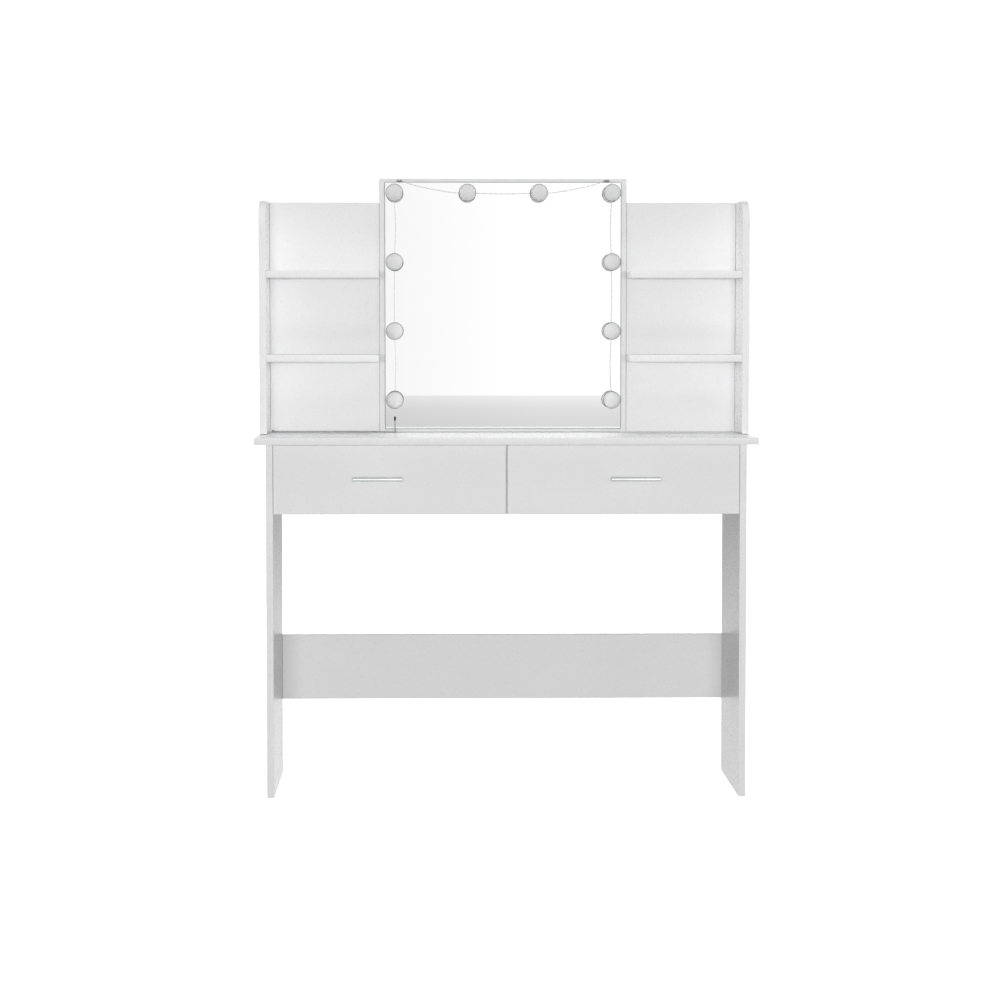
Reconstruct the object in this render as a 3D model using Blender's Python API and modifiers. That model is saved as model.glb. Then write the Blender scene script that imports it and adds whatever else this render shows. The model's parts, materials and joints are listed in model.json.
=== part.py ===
"""Vanity table with a bulb-lit mirror, open side shelves and two drawers.

A flat-pack table of 15 mm white melamine boards: two leg panels, a desktop, two drawers on
roller runners, and a hutch of open shelves either side of a mirror board. A string of ten
bulbs is stuck round the mirror and is fed by a thin lead whose spare length is wound up
behind the left shelves.

Units are metres. +X is the viewer's right, -Y the front, +Z up. The origin is on the floor,
below the middle of the whole object.
"""

import math

import bmesh
import bpy
from mathutils import Vector

# Boards
BOARD = 0.015
DRAWER_BOARD = 0.012
PANEL = 0.003
CHAMFER = 0.0006
GAP = 0.0003

# Desktop and legs
DESK_WIDTH = 1.080
DESK_DEPTH = 0.400
DESK_TOP = 0.777
LEG_SPREAD = 1.030
LEG_DEPTH = 0.380
LEG_SETBACK = 0.012
GLIDE_HEIGHT = 0.002
GLIDE_RADIUS = 0.0065
GLIDE_INSET = 0.030
STRETCHER_BOTTOM = 0.1698
STRETCHER_HEIGHT = 0.1462

# Drawers
FRONT_HEIGHT = 0.1485
FRONT_TOP_GAP = 0.0006
FRONT_END_GAP = 0.0006
FRONT_MIDDLE_GAP = 0.003
DRAWER_LENGTH = 0.300
DRAWER_SIDE_HEIGHT = 0.100
DRAWER_SIDE_RISE = 0.018
GROOVE_RISE = 0.008
GROOVE_DEPTH = 0.005
RUNNER_SPACE = 0.0127

# Roller runners
RUNNER_SHEET = 0.001
RUNNER_FLANGE = 0.009
RUNNER_WEB = 0.0165
ROLLER_RADIUS = 0.007
ROLLER_WIDTH = 0.0076
ROLLER_INSET = 0.010
ROLLER_PLAY = 0.0004
RUNNER_SETBACK = 0.004

# Handles
HANDLE_LENGTH = 0.105
HANDLE_RADIUS = 0.005
HANDLE_POST_RADIUS = 0.0024
HANDLE_POST_SPAN = 0.064
HANDLE_REACH = 0.023
HANDLE_OFFSET = 0.2757
HANDLE_RISE = 0.002

# Hutch
HUTCH_INSET = 0.002
HUTCH_HEIGHT = 0.5135
BACK_PANEL_DEPTH = 0.345
SHELF_DEPTH = 0.155
SIDE_CORNER_RADIUS = 0.055
LOWER_SHELF_BOTTOM = 0.937
UPPER_SHELF_BOTTOM = 1.121
NOTCH_WIDTH = 0.009
NOTCH_HEIGHT = 0.0042

# Mirror
MIRROR_WIDTH = 0.554
MIRROR_HEIGHT = 0.567
GLASS = 0.004
GLASS_SIDE_MARGIN = 0.0117
GLASS_END_MARGIN = 0.007
PLATE_SIZE = (0.070, 0.0015, 0.030)
PLATE_HEIGHT = 1.235

# Light string
BULB_COLUMN = 0.243
BULB_TOP_ROW = 1.312
BULB_PITCH = 0.154
BULB_ROWS = 4
BULB_MIDDLE = 0.080
BULB_BASE_RADIUS = 0.015
BULB_RADIUS = 0.0195
BULB_DEPTH = 0.052
BULB_SEGMENTS = 20
WIRE_RADIUS = 0.0008
WIRE_STANDOFF = 0.004
WIRE_BOW = 0.0022
WIRE_STEP = 0.034
CHANNEL_WIDTH = 0.0032
CHANNEL_DEPTH = 0.0062
CLIP_X = 0.232
CLIP_Z = 1.3395
CLIP_SIZE = (0.011, 0.0102, 0.0040)
CLIP_SLOT = 0.0022

# Lead, connector and plug
LEAD_RADIUS = 0.0013
LEAD_BEND = 0.0055
LEAD_STEP = 0.0065
CONNECTOR_RADIUS = 0.0024
CONNECTOR_TOP = 0.8125
CONNECTOR_LENGTH = 0.0095
COIL_EDGE = 0.0012
COIL_TURN_RADIUS = 0.0143
COIL_COLUMNS = 3
COIL_LAYERS = 4
PLUG_REACH = 0.053
PLUG_RELIEF = 0.010
PLUG_EDGE = 0.0012
PLUG_BODY = (0.022, 0.0125, 0.0064)
PLUG_SHELL = (0.0145, 0.0118, 0.0045)

# Positions that follow from the sizes
HANDLE_FRONT = HANDLE_REACH + HANDLE_RADIUS
OVERALL_DEPTH = DESK_DEPTH + HANDLE_FRONT - LEG_SETBACK
DESK_FRONT = HANDLE_FRONT - LEG_SETBACK - OVERALL_DEPTH / 2
DESK_BACK = DESK_FRONT + DESK_DEPTH
DESK_BOTTOM = DESK_TOP - BOARD
LEG_FRONT = DESK_FRONT + LEG_SETBACK
LEG_BACK = LEG_FRONT + LEG_DEPTH
LEG_INNER = LEG_SPREAD / 2 - BOARD
RAIL_FRONT = LEG_BACK - BOARD
FRONT_TOP = DESK_BOTTOM - FRONT_TOP_GAP
FRONT_BOTTOM = FRONT_TOP - FRONT_HEIGHT
SIDE_BOTTOM = FRONT_BOTTOM + DRAWER_SIDE_RISE
SIDE_TOP = SIDE_BOTTOM + DRAWER_SIDE_HEIGHT
DRAWER_FRONT_BACK = LEG_FRONT + BOARD
DRAWER_REAR = DRAWER_FRONT_BACK + DRAWER_LENGTH
BACK_FRONT = DESK_FRONT + BACK_PANEL_DEPTH
BACK_REAR = BACK_FRONT + BOARD
SHELF_FRONT = BACK_FRONT - SHELF_DEPTH
HUTCH_INNER = DESK_WIDTH / 2 - HUTCH_INSET - BOARD
MIRROR_HALF = MIRROR_WIDTH / 2
GLASS_FRONT = BACK_FRONT - GAP - GLASS
WIRE_Y = GLASS_FRONT - WIRE_STANDOFF
DESK_REST = DESK_TOP + GAP
COIL_OUTER = COIL_TURN_RADIUS + COIL_COLUMNS * LEAD_RADIUS
COIL_INNER = COIL_TURN_RADIUS - COIL_COLUMNS * LEAD_RADIUS
COIL_HEIGHT = 2 * LEAD_RADIUS * COIL_LAYERS
LEAD_LANE = -HUTCH_INNER + LEAD_RADIUS + 4 * GAP
COIL_X = LEAD_LANE + COIL_OUTER - LEAD_RADIUS
COIL_Y = (DESK_BACK + BACK_REAR) / 2 + GAP
TAIL_LANE = COIL_Y + COIL_OUTER - LEAD_RADIUS
PLUG_X = COIL_X + PLUG_REACH
COIL_MOUTH = math.sqrt(COIL_OUTER ** 2 - (COIL_OUTER - 2 * LEAD_RADIUS) ** 2) + GAP
LEAD_Z = DESK_REST + LEAD_RADIUS
BULB_STATIONS = (
    [(-BULB_COLUMN, BULB_TOP_ROW - BULB_PITCH * row) for row in reversed(range(BULB_ROWS))]
    + [(-BULB_MIDDLE, BULB_TOP_ROW), (BULB_MIDDLE, BULB_TOP_ROW)]
    + [(BULB_COLUMN, BULB_TOP_ROW - BULB_PITCH * row) for row in range(BULB_ROWS)]
)

# Colour, roughness and metallic value of each finish
FINISHES = {
    "melamine": ((0.84, 0.84, 0.85), 0.38, 0.0),
    "drawer_foil": ((0.80, 0.80, 0.80), 0.50, 0.0),
    "chrome": ((0.86, 0.87, 0.88), 0.10, 1.0),
    "mirror": ((0.93, 0.94, 0.94), 0.02, 1.0),
    "bulb": ((0.82, 0.82, 0.82), 0.30, 0.0),
    "white_plastic": ((0.78, 0.78, 0.78), 0.45, 0.0),
    "grey_plastic": ((0.22, 0.22, 0.23), 0.45, 0.0),
    "runner_paint": ((0.82, 0.82, 0.80), 0.35, 0.0),
    "steel": ((0.60, 0.61, 0.62), 0.35, 1.0),
}


def clear_scene():
    """Remove whatever objects the opened file holds."""
    for obj in list(bpy.data.objects):
        bpy.data.objects.remove(obj, do_unlink=True)


def new_collection(name):
    """Return a new collection linked to the scene."""
    collection = bpy.data.collections.new(name)
    bpy.context.scene.collection.children.link(collection)
    return collection


def new_material(name, finish):
    """Return a Principled material of its own for one piece."""
    color, roughness, metallic = FINISHES[finish]
    material = bpy.data.materials.new(name + "_material")
    material.use_nodes = True
    shader = material.node_tree.nodes["Principled BSDF"]
    shader.inputs["Base Color"].default_value = (*color, 1.0)
    shader.inputs["Roughness"].default_value = roughness
    shader.inputs["Metallic"].default_value = metallic
    return material


def add_piece(name, data, finish, location=(0, 0, 0), parent=None):
    """Put a mesh or curve in the model's collection at a world position."""
    obj = bpy.data.objects.new(name, data)
    obj.data.materials.append(new_material(name, finish))
    obj.location = Vector(location) - (parent.location if parent else Vector())
    obj.parent = parent
    MODEL.objects.link(obj)
    return obj


def add_empty(name, location):
    """Add the empty that a sliding group hangs on."""
    empty = bpy.data.objects.new(name, None)
    empty.location = location
    MODEL.objects.link(empty)
    bpy.context.view_layer.update()
    return empty


def box_data(name, size):
    """Return a box mesh of the given size about its own middle."""
    mesh = bpy.data.meshes.new(name)
    bm = bmesh.new()
    bmesh.ops.create_cube(bm, size=1.0)
    bmesh.ops.scale(bm, vec=size, verts=bm.verts)
    bm.to_mesh(mesh)
    bm.free()
    return mesh


def middle_and_size(low, high):
    """Return the middle and the size of the box between two corners."""
    low, high = Vector(low), Vector(high)
    return (low + high) / 2, high - low


def add_bevel(obj, width):
    """Take the sharp edges off a piece."""
    bevel = obj.modifiers.new("edges", "BEVEL")
    bevel.width = width
    bevel.limit_method = "ANGLE"


def add_board(name, low, high, finish="melamine", parent=None, chamfer=CHAMFER):
    """Add a flat board between two corners, its edges slightly eased."""
    middle, size = middle_and_size(low, high)
    board = add_piece(name, box_data(name, size), finish, middle, parent)
    add_bevel(board, chamfer)
    return board


def mirrored(low, high, hand):
    """Return two corners as they are (hand 1) or reflected to the left side (hand -1)."""
    if hand > 0:
        return low, high
    return (-high[0], low[1], low[2]), (-low[0], high[1], high[2])


def cut_box(obj, low, high):
    """Cut the box between two world corners out of a piece."""
    middle, size = middle_and_size(low, high)
    cutter = bpy.data.objects.new(obj.name + "_cutter", box_data(obj.name + "_cutter", size))
    cutter.location = middle
    cutter.hide_render = True
    cutter.display_type = "WIRE"
    CUTTERS.objects.link(cutter)
    boolean = obj.modifiers.new("cut", "BOOLEAN")
    boolean.operation = "DIFFERENCE"
    boolean.object = cutter


def curve_solid(name, splines, **settings):
    """Return the welded mesh of a curve object made of the given splines."""
    curve = bpy.data.curves.new(name, "CURVE")
    for key, value in settings.items():
        setattr(curve, key, value)
    for points, cyclic in splines:
        spline = curve.splines.new("POLY")
        spline.points.add(len(points) - 1)
        for slot, point in zip(spline.points, points):
            slot.co = (*point, 1.0) if len(point) == 3 else (*point, 0.0, 1.0)
        spline.use_cyclic_u = cyclic
    guide = bpy.data.objects.new(name, curve)
    MODEL.objects.link(guide)
    graph = bpy.context.evaluated_depsgraph_get()
    mesh = bpy.data.meshes.new_from_object(guide.evaluated_get(graph))
    bpy.data.objects.remove(guide, do_unlink=True)
    bm = bmesh.new()
    bm.from_mesh(mesh)
    bmesh.ops.remove_doubles(bm, verts=bm.verts, dist=1e-6)
    bmesh.ops.recalc_face_normals(bm, faces=bm.faces)
    bm.to_mesh(mesh)
    bm.free()
    return mesh


def outline_solid(name, outline, thickness):
    """Return a flat closed outline with a thickness, in its own XY plane."""
    return curve_solid(
        name, [(outline, True)], dimensions="2D", fill_mode="BOTH", extrude=thickness / 2
    )


def add_tube(name, points, radius, finish):
    """Add a round wire or lead along a list of points."""
    curve = bpy.data.curves.new(name, "CURVE")
    curve.dimensions = "3D"
    curve.bevel_depth = radius
    curve.bevel_resolution = 2
    curve.use_fill_caps = True
    spline = curve.splines.new("POLY")
    spline.points.add(len(points) - 1)
    for slot, point in zip(spline.points, points):
        slot.co = (*point, 1.0)
    return add_piece(name, curve, finish)


def add_turned(name, profile, segments, finish, location, rotation=(0, 0, 0)):
    """Add a solid turned about its own Z axis from an (r, z) profile, top to bottom."""
    mesh = bpy.data.meshes.new(name)
    rings = [(radius, 0.0, height) for radius, height in profile]
    mesh.from_pydata(rings, [(i, i + 1) for i in range(len(rings) - 1)], [])
    obj = add_piece(name, mesh, finish, location)
    obj.rotation_euler = rotation
    screw = obj.modifiers.new("turn", "SCREW")
    screw.steps = segments
    screw.render_steps = segments
    screw.use_merge_vertices = True
    screw.merge_threshold = 0.00001
    screw.use_smooth_shade = True
    return obj


def smooth_route(points, step):
    """Return points about a step apart on a smooth curve through a route's own points."""
    route = [Vector(point) for point in points]
    route = [2 * route[0] - route[1]] + route + [2 * route[-1] - route[-2]]
    samples = []
    for a, b, c, d in zip(route, route[1:], route[2:], route[3:]):
        count = max(1, round((c - b).length / step))
        for i in range(count):
            t = i / count
            samples.append(
                0.5 * (
                    2 * b
                    + (c - a) * t
                    + (2 * a - 5 * b + 4 * c - d) * t ** 2
                    + (3 * b - a - 3 * c + d) * t ** 3
                )
            )
    return samples + [route[-2]]


def build_carcass():
    """Desktop, leg panels, divider, rear rail, stretcher and floor glides."""
    half = DESK_WIDTH / 2
    add_board("desktop", (-half, DESK_FRONT, DESK_BOTTOM), (half, DESK_BACK, DESK_TOP))
    leg_outer = LEG_SPREAD / 2
    leg_low = (LEG_INNER, LEG_FRONT, GLIDE_HEIGHT + GAP)
    leg_high = (leg_outer, LEG_BACK, DESK_BOTTOM - GAP)
    for side, hand in (("left", -1), ("right", 1)):
        add_board(side + "_leg_panel", *mirrored(leg_low, leg_high, hand))
        for end, y in (("front", LEG_FRONT + GLIDE_INSET), ("rear", LEG_BACK - GLIDE_INSET)):
            add_glide("{}_{}_glide".format(side, end), hand * (leg_outer - BOARD / 2), y)
    add_board(
        "drawer_divider",
        (-BOARD / 2, DRAWER_FRONT_BACK + GAP, FRONT_BOTTOM),
        (BOARD / 2, RAIL_FRONT - GAP, DESK_BOTTOM - GAP),
    )
    add_board(
        "rear_rail",
        (-LEG_INNER + GAP, RAIL_FRONT, FRONT_BOTTOM),
        (LEG_INNER - GAP, LEG_BACK, DESK_BOTTOM - GAP),
    )
    add_board(
        "lower_stretcher",
        (-LEG_INNER + GAP, RAIL_FRONT, STRETCHER_BOTTOM),
        (LEG_INNER - GAP, LEG_BACK, STRETCHER_BOTTOM + STRETCHER_HEIGHT),
    )


def add_glide(name, x, y):
    """Add a nail-on floor glide: a low plastic disc with an eased rim."""
    rim = GLIDE_RADIUS
    profile = [(0, GLIDE_HEIGHT), (rim, GLIDE_HEIGHT), (rim, 0.0006), (rim - 0.0006, 0), (0, 0)]
    add_turned(name, profile, 20, "white_plastic", (x, y, 0))


def build_drawer(side, hand):
    """One drawer: front, box, handle, and the drawer's half of both runners."""
    inner = BOARD / 2 + RUNNER_SPACE
    outer = LEG_INNER - RUNNER_SPACE
    slide = add_empty(
        side + "_drawer_slide",
        (hand * HANDLE_OFFSET, LEG_FRONT, (FRONT_TOP + FRONT_BOTTOM) / 2 + HANDLE_RISE),
    )
    prefix = side + "_drawer_"

    def place(part, low, high, finish="drawer_foil"):
        return add_board(prefix + part, *mirrored(low, high, hand), finish, slide)

    front = place(
        "front",
        (FRONT_MIDDLE_GAP / 2, LEG_FRONT, FRONT_BOTTOM),
        (LEG_INNER - FRONT_END_GAP, DRAWER_FRONT_BACK, FRONT_TOP),
        "melamine",
    )
    box_front = DRAWER_FRONT_BACK + GAP
    inner_side = place(
        "inner_side",
        (inner, box_front, SIDE_BOTTOM),
        (inner + DRAWER_BOARD, DRAWER_REAR, SIDE_TOP),
    )
    outer_side = place(
        "outer_side",
        (outer - DRAWER_BOARD, box_front, SIDE_BOTTOM),
        (outer, DRAWER_REAR, SIDE_TOP),
    )
    groove_bottom = SIDE_BOTTOM + GROOVE_RISE
    groove_top = groove_bottom + PANEL + 2 * GAP
    groove_left = inner + DRAWER_BOARD - GROOVE_DEPTH - GAP
    groove_right = outer - DRAWER_BOARD + GROOVE_DEPTH + GAP
    groove = mirrored(
        (groove_left, DRAWER_FRONT_BACK - GROOVE_DEPTH - GAP, groove_bottom),
        (groove_right, DRAWER_REAR + BOARD, groove_top),
        hand,
    )
    for grooved in (front, inner_side, outer_side):
        cut_box(grooved, *groove)
    place(
        "back",
        (inner + DRAWER_BOARD + GAP, DRAWER_REAR - DRAWER_BOARD, groove_top),
        (outer - DRAWER_BOARD - GAP, DRAWER_REAR, SIDE_TOP),
    )
    bottom_low = (groove_left + GAP, DRAWER_FRONT_BACK - GROOVE_DEPTH, groove_bottom + GAP)
    bottom_high = (groove_right - GAP, DRAWER_REAR, groove_top - GAP)
    bottom_low, bottom_high = mirrored(bottom_low, bottom_high, hand)
    add_board(prefix + "bottom", bottom_low, bottom_high, "drawer_foil", slide, chamfer=0.0003)
    add_handle(prefix + "handle", slide)
    for part, face, facing in (("inner", inner, -hand), ("outer", outer, hand)):
        add_drawer_runner(prefix + part + "_runner", hand * face, facing, slide)


def cylinder_between(bm, start, end, radius, segments):
    """Add a closed cylinder from one point to another to a bmesh."""
    start, end = Vector(start), Vector(end)
    axis = end - start
    turn = axis.to_track_quat("Z", "Y").to_matrix().to_4x4()
    turn.translation = (start + end) / 2
    bmesh.ops.create_cone(
        bm, cap_ends=True, segments=segments, radius1=radius, radius2=radius,
        depth=axis.length, matrix=turn,
    )


def bmesh_object(name, fill, finish, parent=None, location=(0, 0, 0), helper=False):
    """Make an object from a function that fills a bmesh; a helper goes with the cutters."""
    mesh = bpy.data.meshes.new(name)
    bm = bmesh.new()
    fill(bm)
    bm.to_mesh(mesh)
    bm.free()
    if not helper:
        return add_piece(name, mesh, finish, location, parent)
    obj = bpy.data.objects.new(name, mesh)
    obj.location = location
    obj.hide_render = True
    obj.display_type = "WIRE"
    CUTTERS.objects.link(obj)
    return obj


def join_helper(obj, helper):
    """Join a helper's solid to a piece as one body."""
    union = obj.modifiers.new("join", "BOOLEAN")
    union.operation = "UNION"
    union.object = helper


def add_handle(name, slide):
    """Add a straight bar pull on two posts, its bar along X."""
    post = HANDLE_POST_SPAN / 2
    bar_end = HANDLE_LENGTH / 2

    def bar(bm):
        cylinder_between(
            bm, (-bar_end, -HANDLE_REACH, 0), (bar_end, -HANDLE_REACH, 0), HANDLE_RADIUS, 24
        )

    handle = bmesh_object(name, bar, "chrome", slide, slide.location)
    add_bevel(handle, 0.0005)
    for x in (-post, post):

        def stand(bm, x=x):
            cylinder_between(
                bm, (x, -HANDLE_REACH, 0), (x, -GAP, 0), HANDLE_POST_RADIUS, 16
            )

        join_helper(handle, bmesh_object(name + "_post", stand, None, None, slide.location, True))


def runner_heights():
    """Return the undersides of a runner's foot, its riding flange and its roller axis."""
    foot = SIDE_BOTTOM - GAP - RUNNER_SHEET
    flange = foot + RUNNER_WEB
    axis = flange - ROLLER_PLAY - ROLLER_RADIUS
    return foot, flange, axis


def add_profile(name, section, length_from, length_to, finish, parent):
    """Add an XZ section swept along Y between two planes."""
    mesh = outline_solid(name, section, length_to - length_from)
    middle = Vector((0, (length_from + length_to) / 2, 0))
    obj = add_piece(name, mesh, finish, middle, parent)
    obj.rotation_euler = (math.pi / 2, 0, 0)
    return obj


def join_roller(obj, x_start, x_end, y, z):
    """Join a roller on a horizontal axle to a runner."""

    def roller(bm):
        cylinder_between(bm, (x_start, y, z), (x_end, y, z), ROLLER_RADIUS, 20)

    join_helper(obj, bmesh_object(obj.name + "_roller", roller, None, helper=True))


def add_drawer_runner(name, face, facing, slide):
    """Add the drawer's half of a runner on a drawer side's outer face.

    The foot goes under the side and the flange at the top of the web stands out over the
    rollers. facing is 1 where the outer face looks to +X.
    """
    foot, flange, axis = runner_heights()
    web = face + facing * GAP
    sheet = facing * RUNNER_SHEET
    foot_end = face - facing * (DRAWER_BOARD - 0.001)
    rim = web + sheet + facing * RUNNER_FLANGE
    section = [
        (foot_end, foot),
        (web + sheet, foot),
        (web + sheet, flange),
        (rim, flange),
        (rim, flange + RUNNER_SHEET),
        (web, flange + RUNNER_SHEET),
        (web, foot + RUNNER_SHEET),
        (foot_end, foot + RUNNER_SHEET),
    ]
    rear = DRAWER_REAR - 0.001
    runner = add_profile(
        name, section, DRAWER_FRONT_BACK + RUNNER_SETBACK, rear, "runner_paint", slide
    )
    join_roller(
        runner,
        web + sheet / 2,
        web + sheet + facing * ROLLER_WIDTH,
        rear - ROLLER_INSET,
        axis,
    )


def add_cabinet_runner(name, face, facing):
    """Add the fixed half of a runner: a C section on a panel, with a roller at its front.

    facing is 1 where the panel's face looks to +X.
    """
    foot, flange, axis = runner_heights()
    web = face + facing * GAP
    sheet = facing * RUNNER_SHEET
    rim = web + sheet + facing * (RUNNER_FLANGE - 0.0004)
    floor = axis - ROLLER_RADIUS - ROLLER_PLAY
    roof = flange + RUNNER_SHEET + ROLLER_PLAY
    section = [
        (web, floor - RUNNER_SHEET),
        (rim, floor - RUNNER_SHEET),
        (rim, floor),
        (web + sheet, floor),
        (web + sheet, roof),
        (rim, roof),
        (rim, roof + RUNNER_SHEET),
        (web, roof + RUNNER_SHEET),
    ]
    front = DRAWER_FRONT_BACK + RUNNER_SETBACK
    runner = add_profile(name, section, front, DRAWER_REAR + 0.012, "runner_paint", None)
    join_roller(
        runner,
        web + sheet / 2,
        web + sheet + facing * ROLLER_WIDTH,
        front + ROLLER_INSET,
        axis,
    )


def build_cabinet_runners():
    """Fixed runners on both leg panels and on both faces of the divider."""
    for side, hand in (("left", -1), ("right", 1)):
        add_cabinet_runner(side + "_leg_runner", hand * LEG_INNER, -hand)
        add_cabinet_runner(side + "_divider_runner", hand * BOARD / 2, hand)


def side_outline():
    """Return a hutch side's outline in (depth, height), its top front corner round."""
    depth = BACK_REAR - SHELF_FRONT
    height = HUTCH_HEIGHT - GAP
    radius = SIDE_CORNER_RADIUS
    arc = [math.radians(90 + 90 * step / 12) for step in range(13)]
    corner = [
        (radius + radius * math.cos(a), height - radius + radius * math.sin(a)) for a in arc
    ]
    return [(0, 0), (depth, 0), (depth, height)] + corner


def build_hutch():
    """Hutch sides, back panels and shelves."""
    for side, hand in (("left", -1), ("right", 1)):
        name = side + "_hutch_side"
        x = hand * (HUTCH_INNER + BOARD / 2)
        mesh = outline_solid(name, side_outline(), BOARD)
        panel = add_piece(name, mesh, "melamine", (x, SHELF_FRONT, DESK_REST))
        panel.rotation_euler = (math.pi / 2, 0, math.pi / 2)
        add_bevel(panel, CHAMFER)
        inner = MIRROR_HALF + GAP
        back = add_board(
            side + "_back_panel",
            *mirrored(
                (inner, BACK_FRONT, DESK_REST),
                (HUTCH_INNER - GAP, BACK_REAR, DESK_TOP + HUTCH_HEIGHT),
                hand,
            ),
        )
        if hand < 0:
            edge = -HUTCH_INNER
            cut_box(
                back,
                (edge - BOARD, BACK_FRONT - BOARD, DESK_TOP - BOARD),
                (edge + NOTCH_WIDTH, BACK_REAR + BOARD, DESK_TOP + NOTCH_HEIGHT),
            )
        for level, bottom in (("lower", LOWER_SHELF_BOTTOM), ("upper", UPPER_SHELF_BOTTOM)):
            add_board(
                "{}_{}_shelf".format(side, level),
                *mirrored(
                    (MIRROR_HALF, SHELF_FRONT, bottom),
                    (HUTCH_INNER - GAP, BACK_FRONT - GAP, bottom + BOARD),
                    hand,
                ),
            )


def build_mirror():
    """Mirror board, its glass, and the plates that tie it to the back panels."""
    board_top = DESK_TOP + MIRROR_HEIGHT
    add_board(
        "mirror_board",
        (-MIRROR_HALF, BACK_FRONT, DESK_REST),
        (MIRROR_HALF, BACK_REAR, board_top),
    )
    half = MIRROR_HALF - GLASS_SIDE_MARGIN
    add_board(
        "mirror_glass",
        (-half, GLASS_FRONT, DESK_TOP + GLASS_END_MARGIN),
        (half, GLASS_FRONT + GLASS, board_top - GLASS_END_MARGIN),
        "mirror",
    )
    width, thickness, height = PLATE_SIZE
    for side, hand in (("left", -1), ("right", 1)):
        x = hand * MIRROR_HALF
        rear = BACK_REAR + GAP
        add_board(
            side + "_joining_plate",
            (x - width / 2, rear, PLATE_HEIGHT - height / 2),
            (x + width / 2, rear + thickness, PLATE_HEIGHT + height / 2),
            "steel",
            chamfer=0.0003,
        )


def bulb_profile():
    """Return a bulb's (radius, distance from the glass) profile, front to back."""
    r, base = BULB_RADIUS, BULB_BASE_RADIUS
    return [
        (0, BULB_DEPTH),
        (0.42 * r, BULB_DEPTH - 0.0008),
        (0.76 * r, BULB_DEPTH - 0.0040),
        (0.94 * r, BULB_DEPTH - 0.0090),
        (r, BULB_DEPTH - 0.0160),
        (0.99 * r, BULB_DEPTH - 0.0250),
        (0.88 * r, BULB_DEPTH - 0.0330),
        (base, 0.0140),
        (base, 0),
        (0, 0),
    ]


def build_bulbs():
    """Ten bulbs stuck on the glass, each with a channel for the wire across its back."""
    half = CHANNEL_WIDTH / 2
    reach = BULB_RADIUS
    for number, (x, z) in enumerate(BULB_STATIONS, start=1):
        name = "light_bulb_{:02d}".format(number)
        bulb = add_turned(
            name, bulb_profile(), BULB_SEGMENTS, "bulb",
            (x, GLASS_FRONT - GAP, z), (math.pi / 2, 0, 0),
        )
        along_x = abs(x) < BULB_COLUMN
        spread = (reach, half) if along_x else (half, reach)
        cut_box(
            bulb,
            (x - spread[0], GLASS_FRONT - GAP - CHANNEL_DEPTH, z - spread[1]),
            (x + spread[0], GLASS_FRONT, z + spread[1]),
        )


def wire_route():
    """Return the light string's (x, z) route, bulb to bulb, from its lead to its last bulb."""
    through = BULB_BASE_RADIUS
    left = [(-BULB_COLUMN, CONNECTOR_TOP + GAP)]
    for row in reversed(range(BULB_ROWS)):
        z = BULB_TOP_ROW - BULB_PITCH * row
        bow = WIRE_BOW * (1 if row % 2 else -0.6)
        left += [(-BULB_COLUMN, z - through), (-BULB_COLUMN, z + through)]
        if row:
            left += [(-BULB_COLUMN + bow, z + BULB_PITCH / 2)]
    over_left = [
        (-BULB_COLUMN + 0.0004, CLIP_Z - 0.0065),
        (-CLIP_X - 0.0083, CLIP_Z - 0.0018),
        (-CLIP_X - 0.0058, CLIP_Z),
        (-CLIP_X + 0.0058, CLIP_Z),
        (-CLIP_X + 0.0105, CLIP_Z - 0.0014),
        (-0.212, 1.3335),
        (-0.180, 1.3252),
        (-0.131, 1.3160),
        (-BULB_MIDDLE - through, BULB_TOP_ROW),
        (-BULB_MIDDLE + through, BULB_TOP_ROW),
    ]
    middle = [(0.0, BULB_TOP_ROW - 0.0014)]
    over_right = [(-x, z) for x, z in reversed(over_left)]
    right = [(-x, z) for x, z in reversed(left)]
    last_bulb = (BULB_COLUMN, right[-2][1])
    return left + over_left + middle + over_right + right[:-2] + [last_bulb]


def build_light_string():
    """Wire through the bulbs, its two clips, and the connector to the lead."""
    points = [(x, WIRE_Y, z) for x, z in wire_route()]
    add_tube("light_wire", smooth_route(points, WIRE_STEP), WIRE_RADIUS, "white_plastic")
    width, depth, height = CLIP_SIZE
    for side, hand in (("left", -1), ("right", 1)):
        x = hand * CLIP_X
        clip = add_board(
            side + "_wire_clip",
            (x - width / 2, BACK_FRONT - GAP - depth, CLIP_Z - height / 2),
            (x + width / 2, BACK_FRONT - GAP, CLIP_Z + height / 2),
            "grey_plastic",
            chamfer=0.0004,
        )
        slot = CLIP_SLOT / 2
        cut_box(
            clip,
            (x - width, WIRE_Y - depth, CLIP_Z - slot),
            (x + width, WIRE_Y + slot, CLIP_Z + slot),
        )
    rim = CONNECTOR_RADIUS
    profile = [
        (0, 0),
        (rim * 0.6, 0),
        (rim, -0.0015),
        (rim, 0.0015 - CONNECTOR_LENGTH),
        (rim * 0.6, -CONNECTOR_LENGTH),
        (0, -CONNECTOR_LENGTH),
    ]
    add_turned(
        "lead_connector", profile, 16, "grey_plastic", (-BULB_COLUMN, WIRE_Y, CONNECTOR_TOP)
    )


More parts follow.
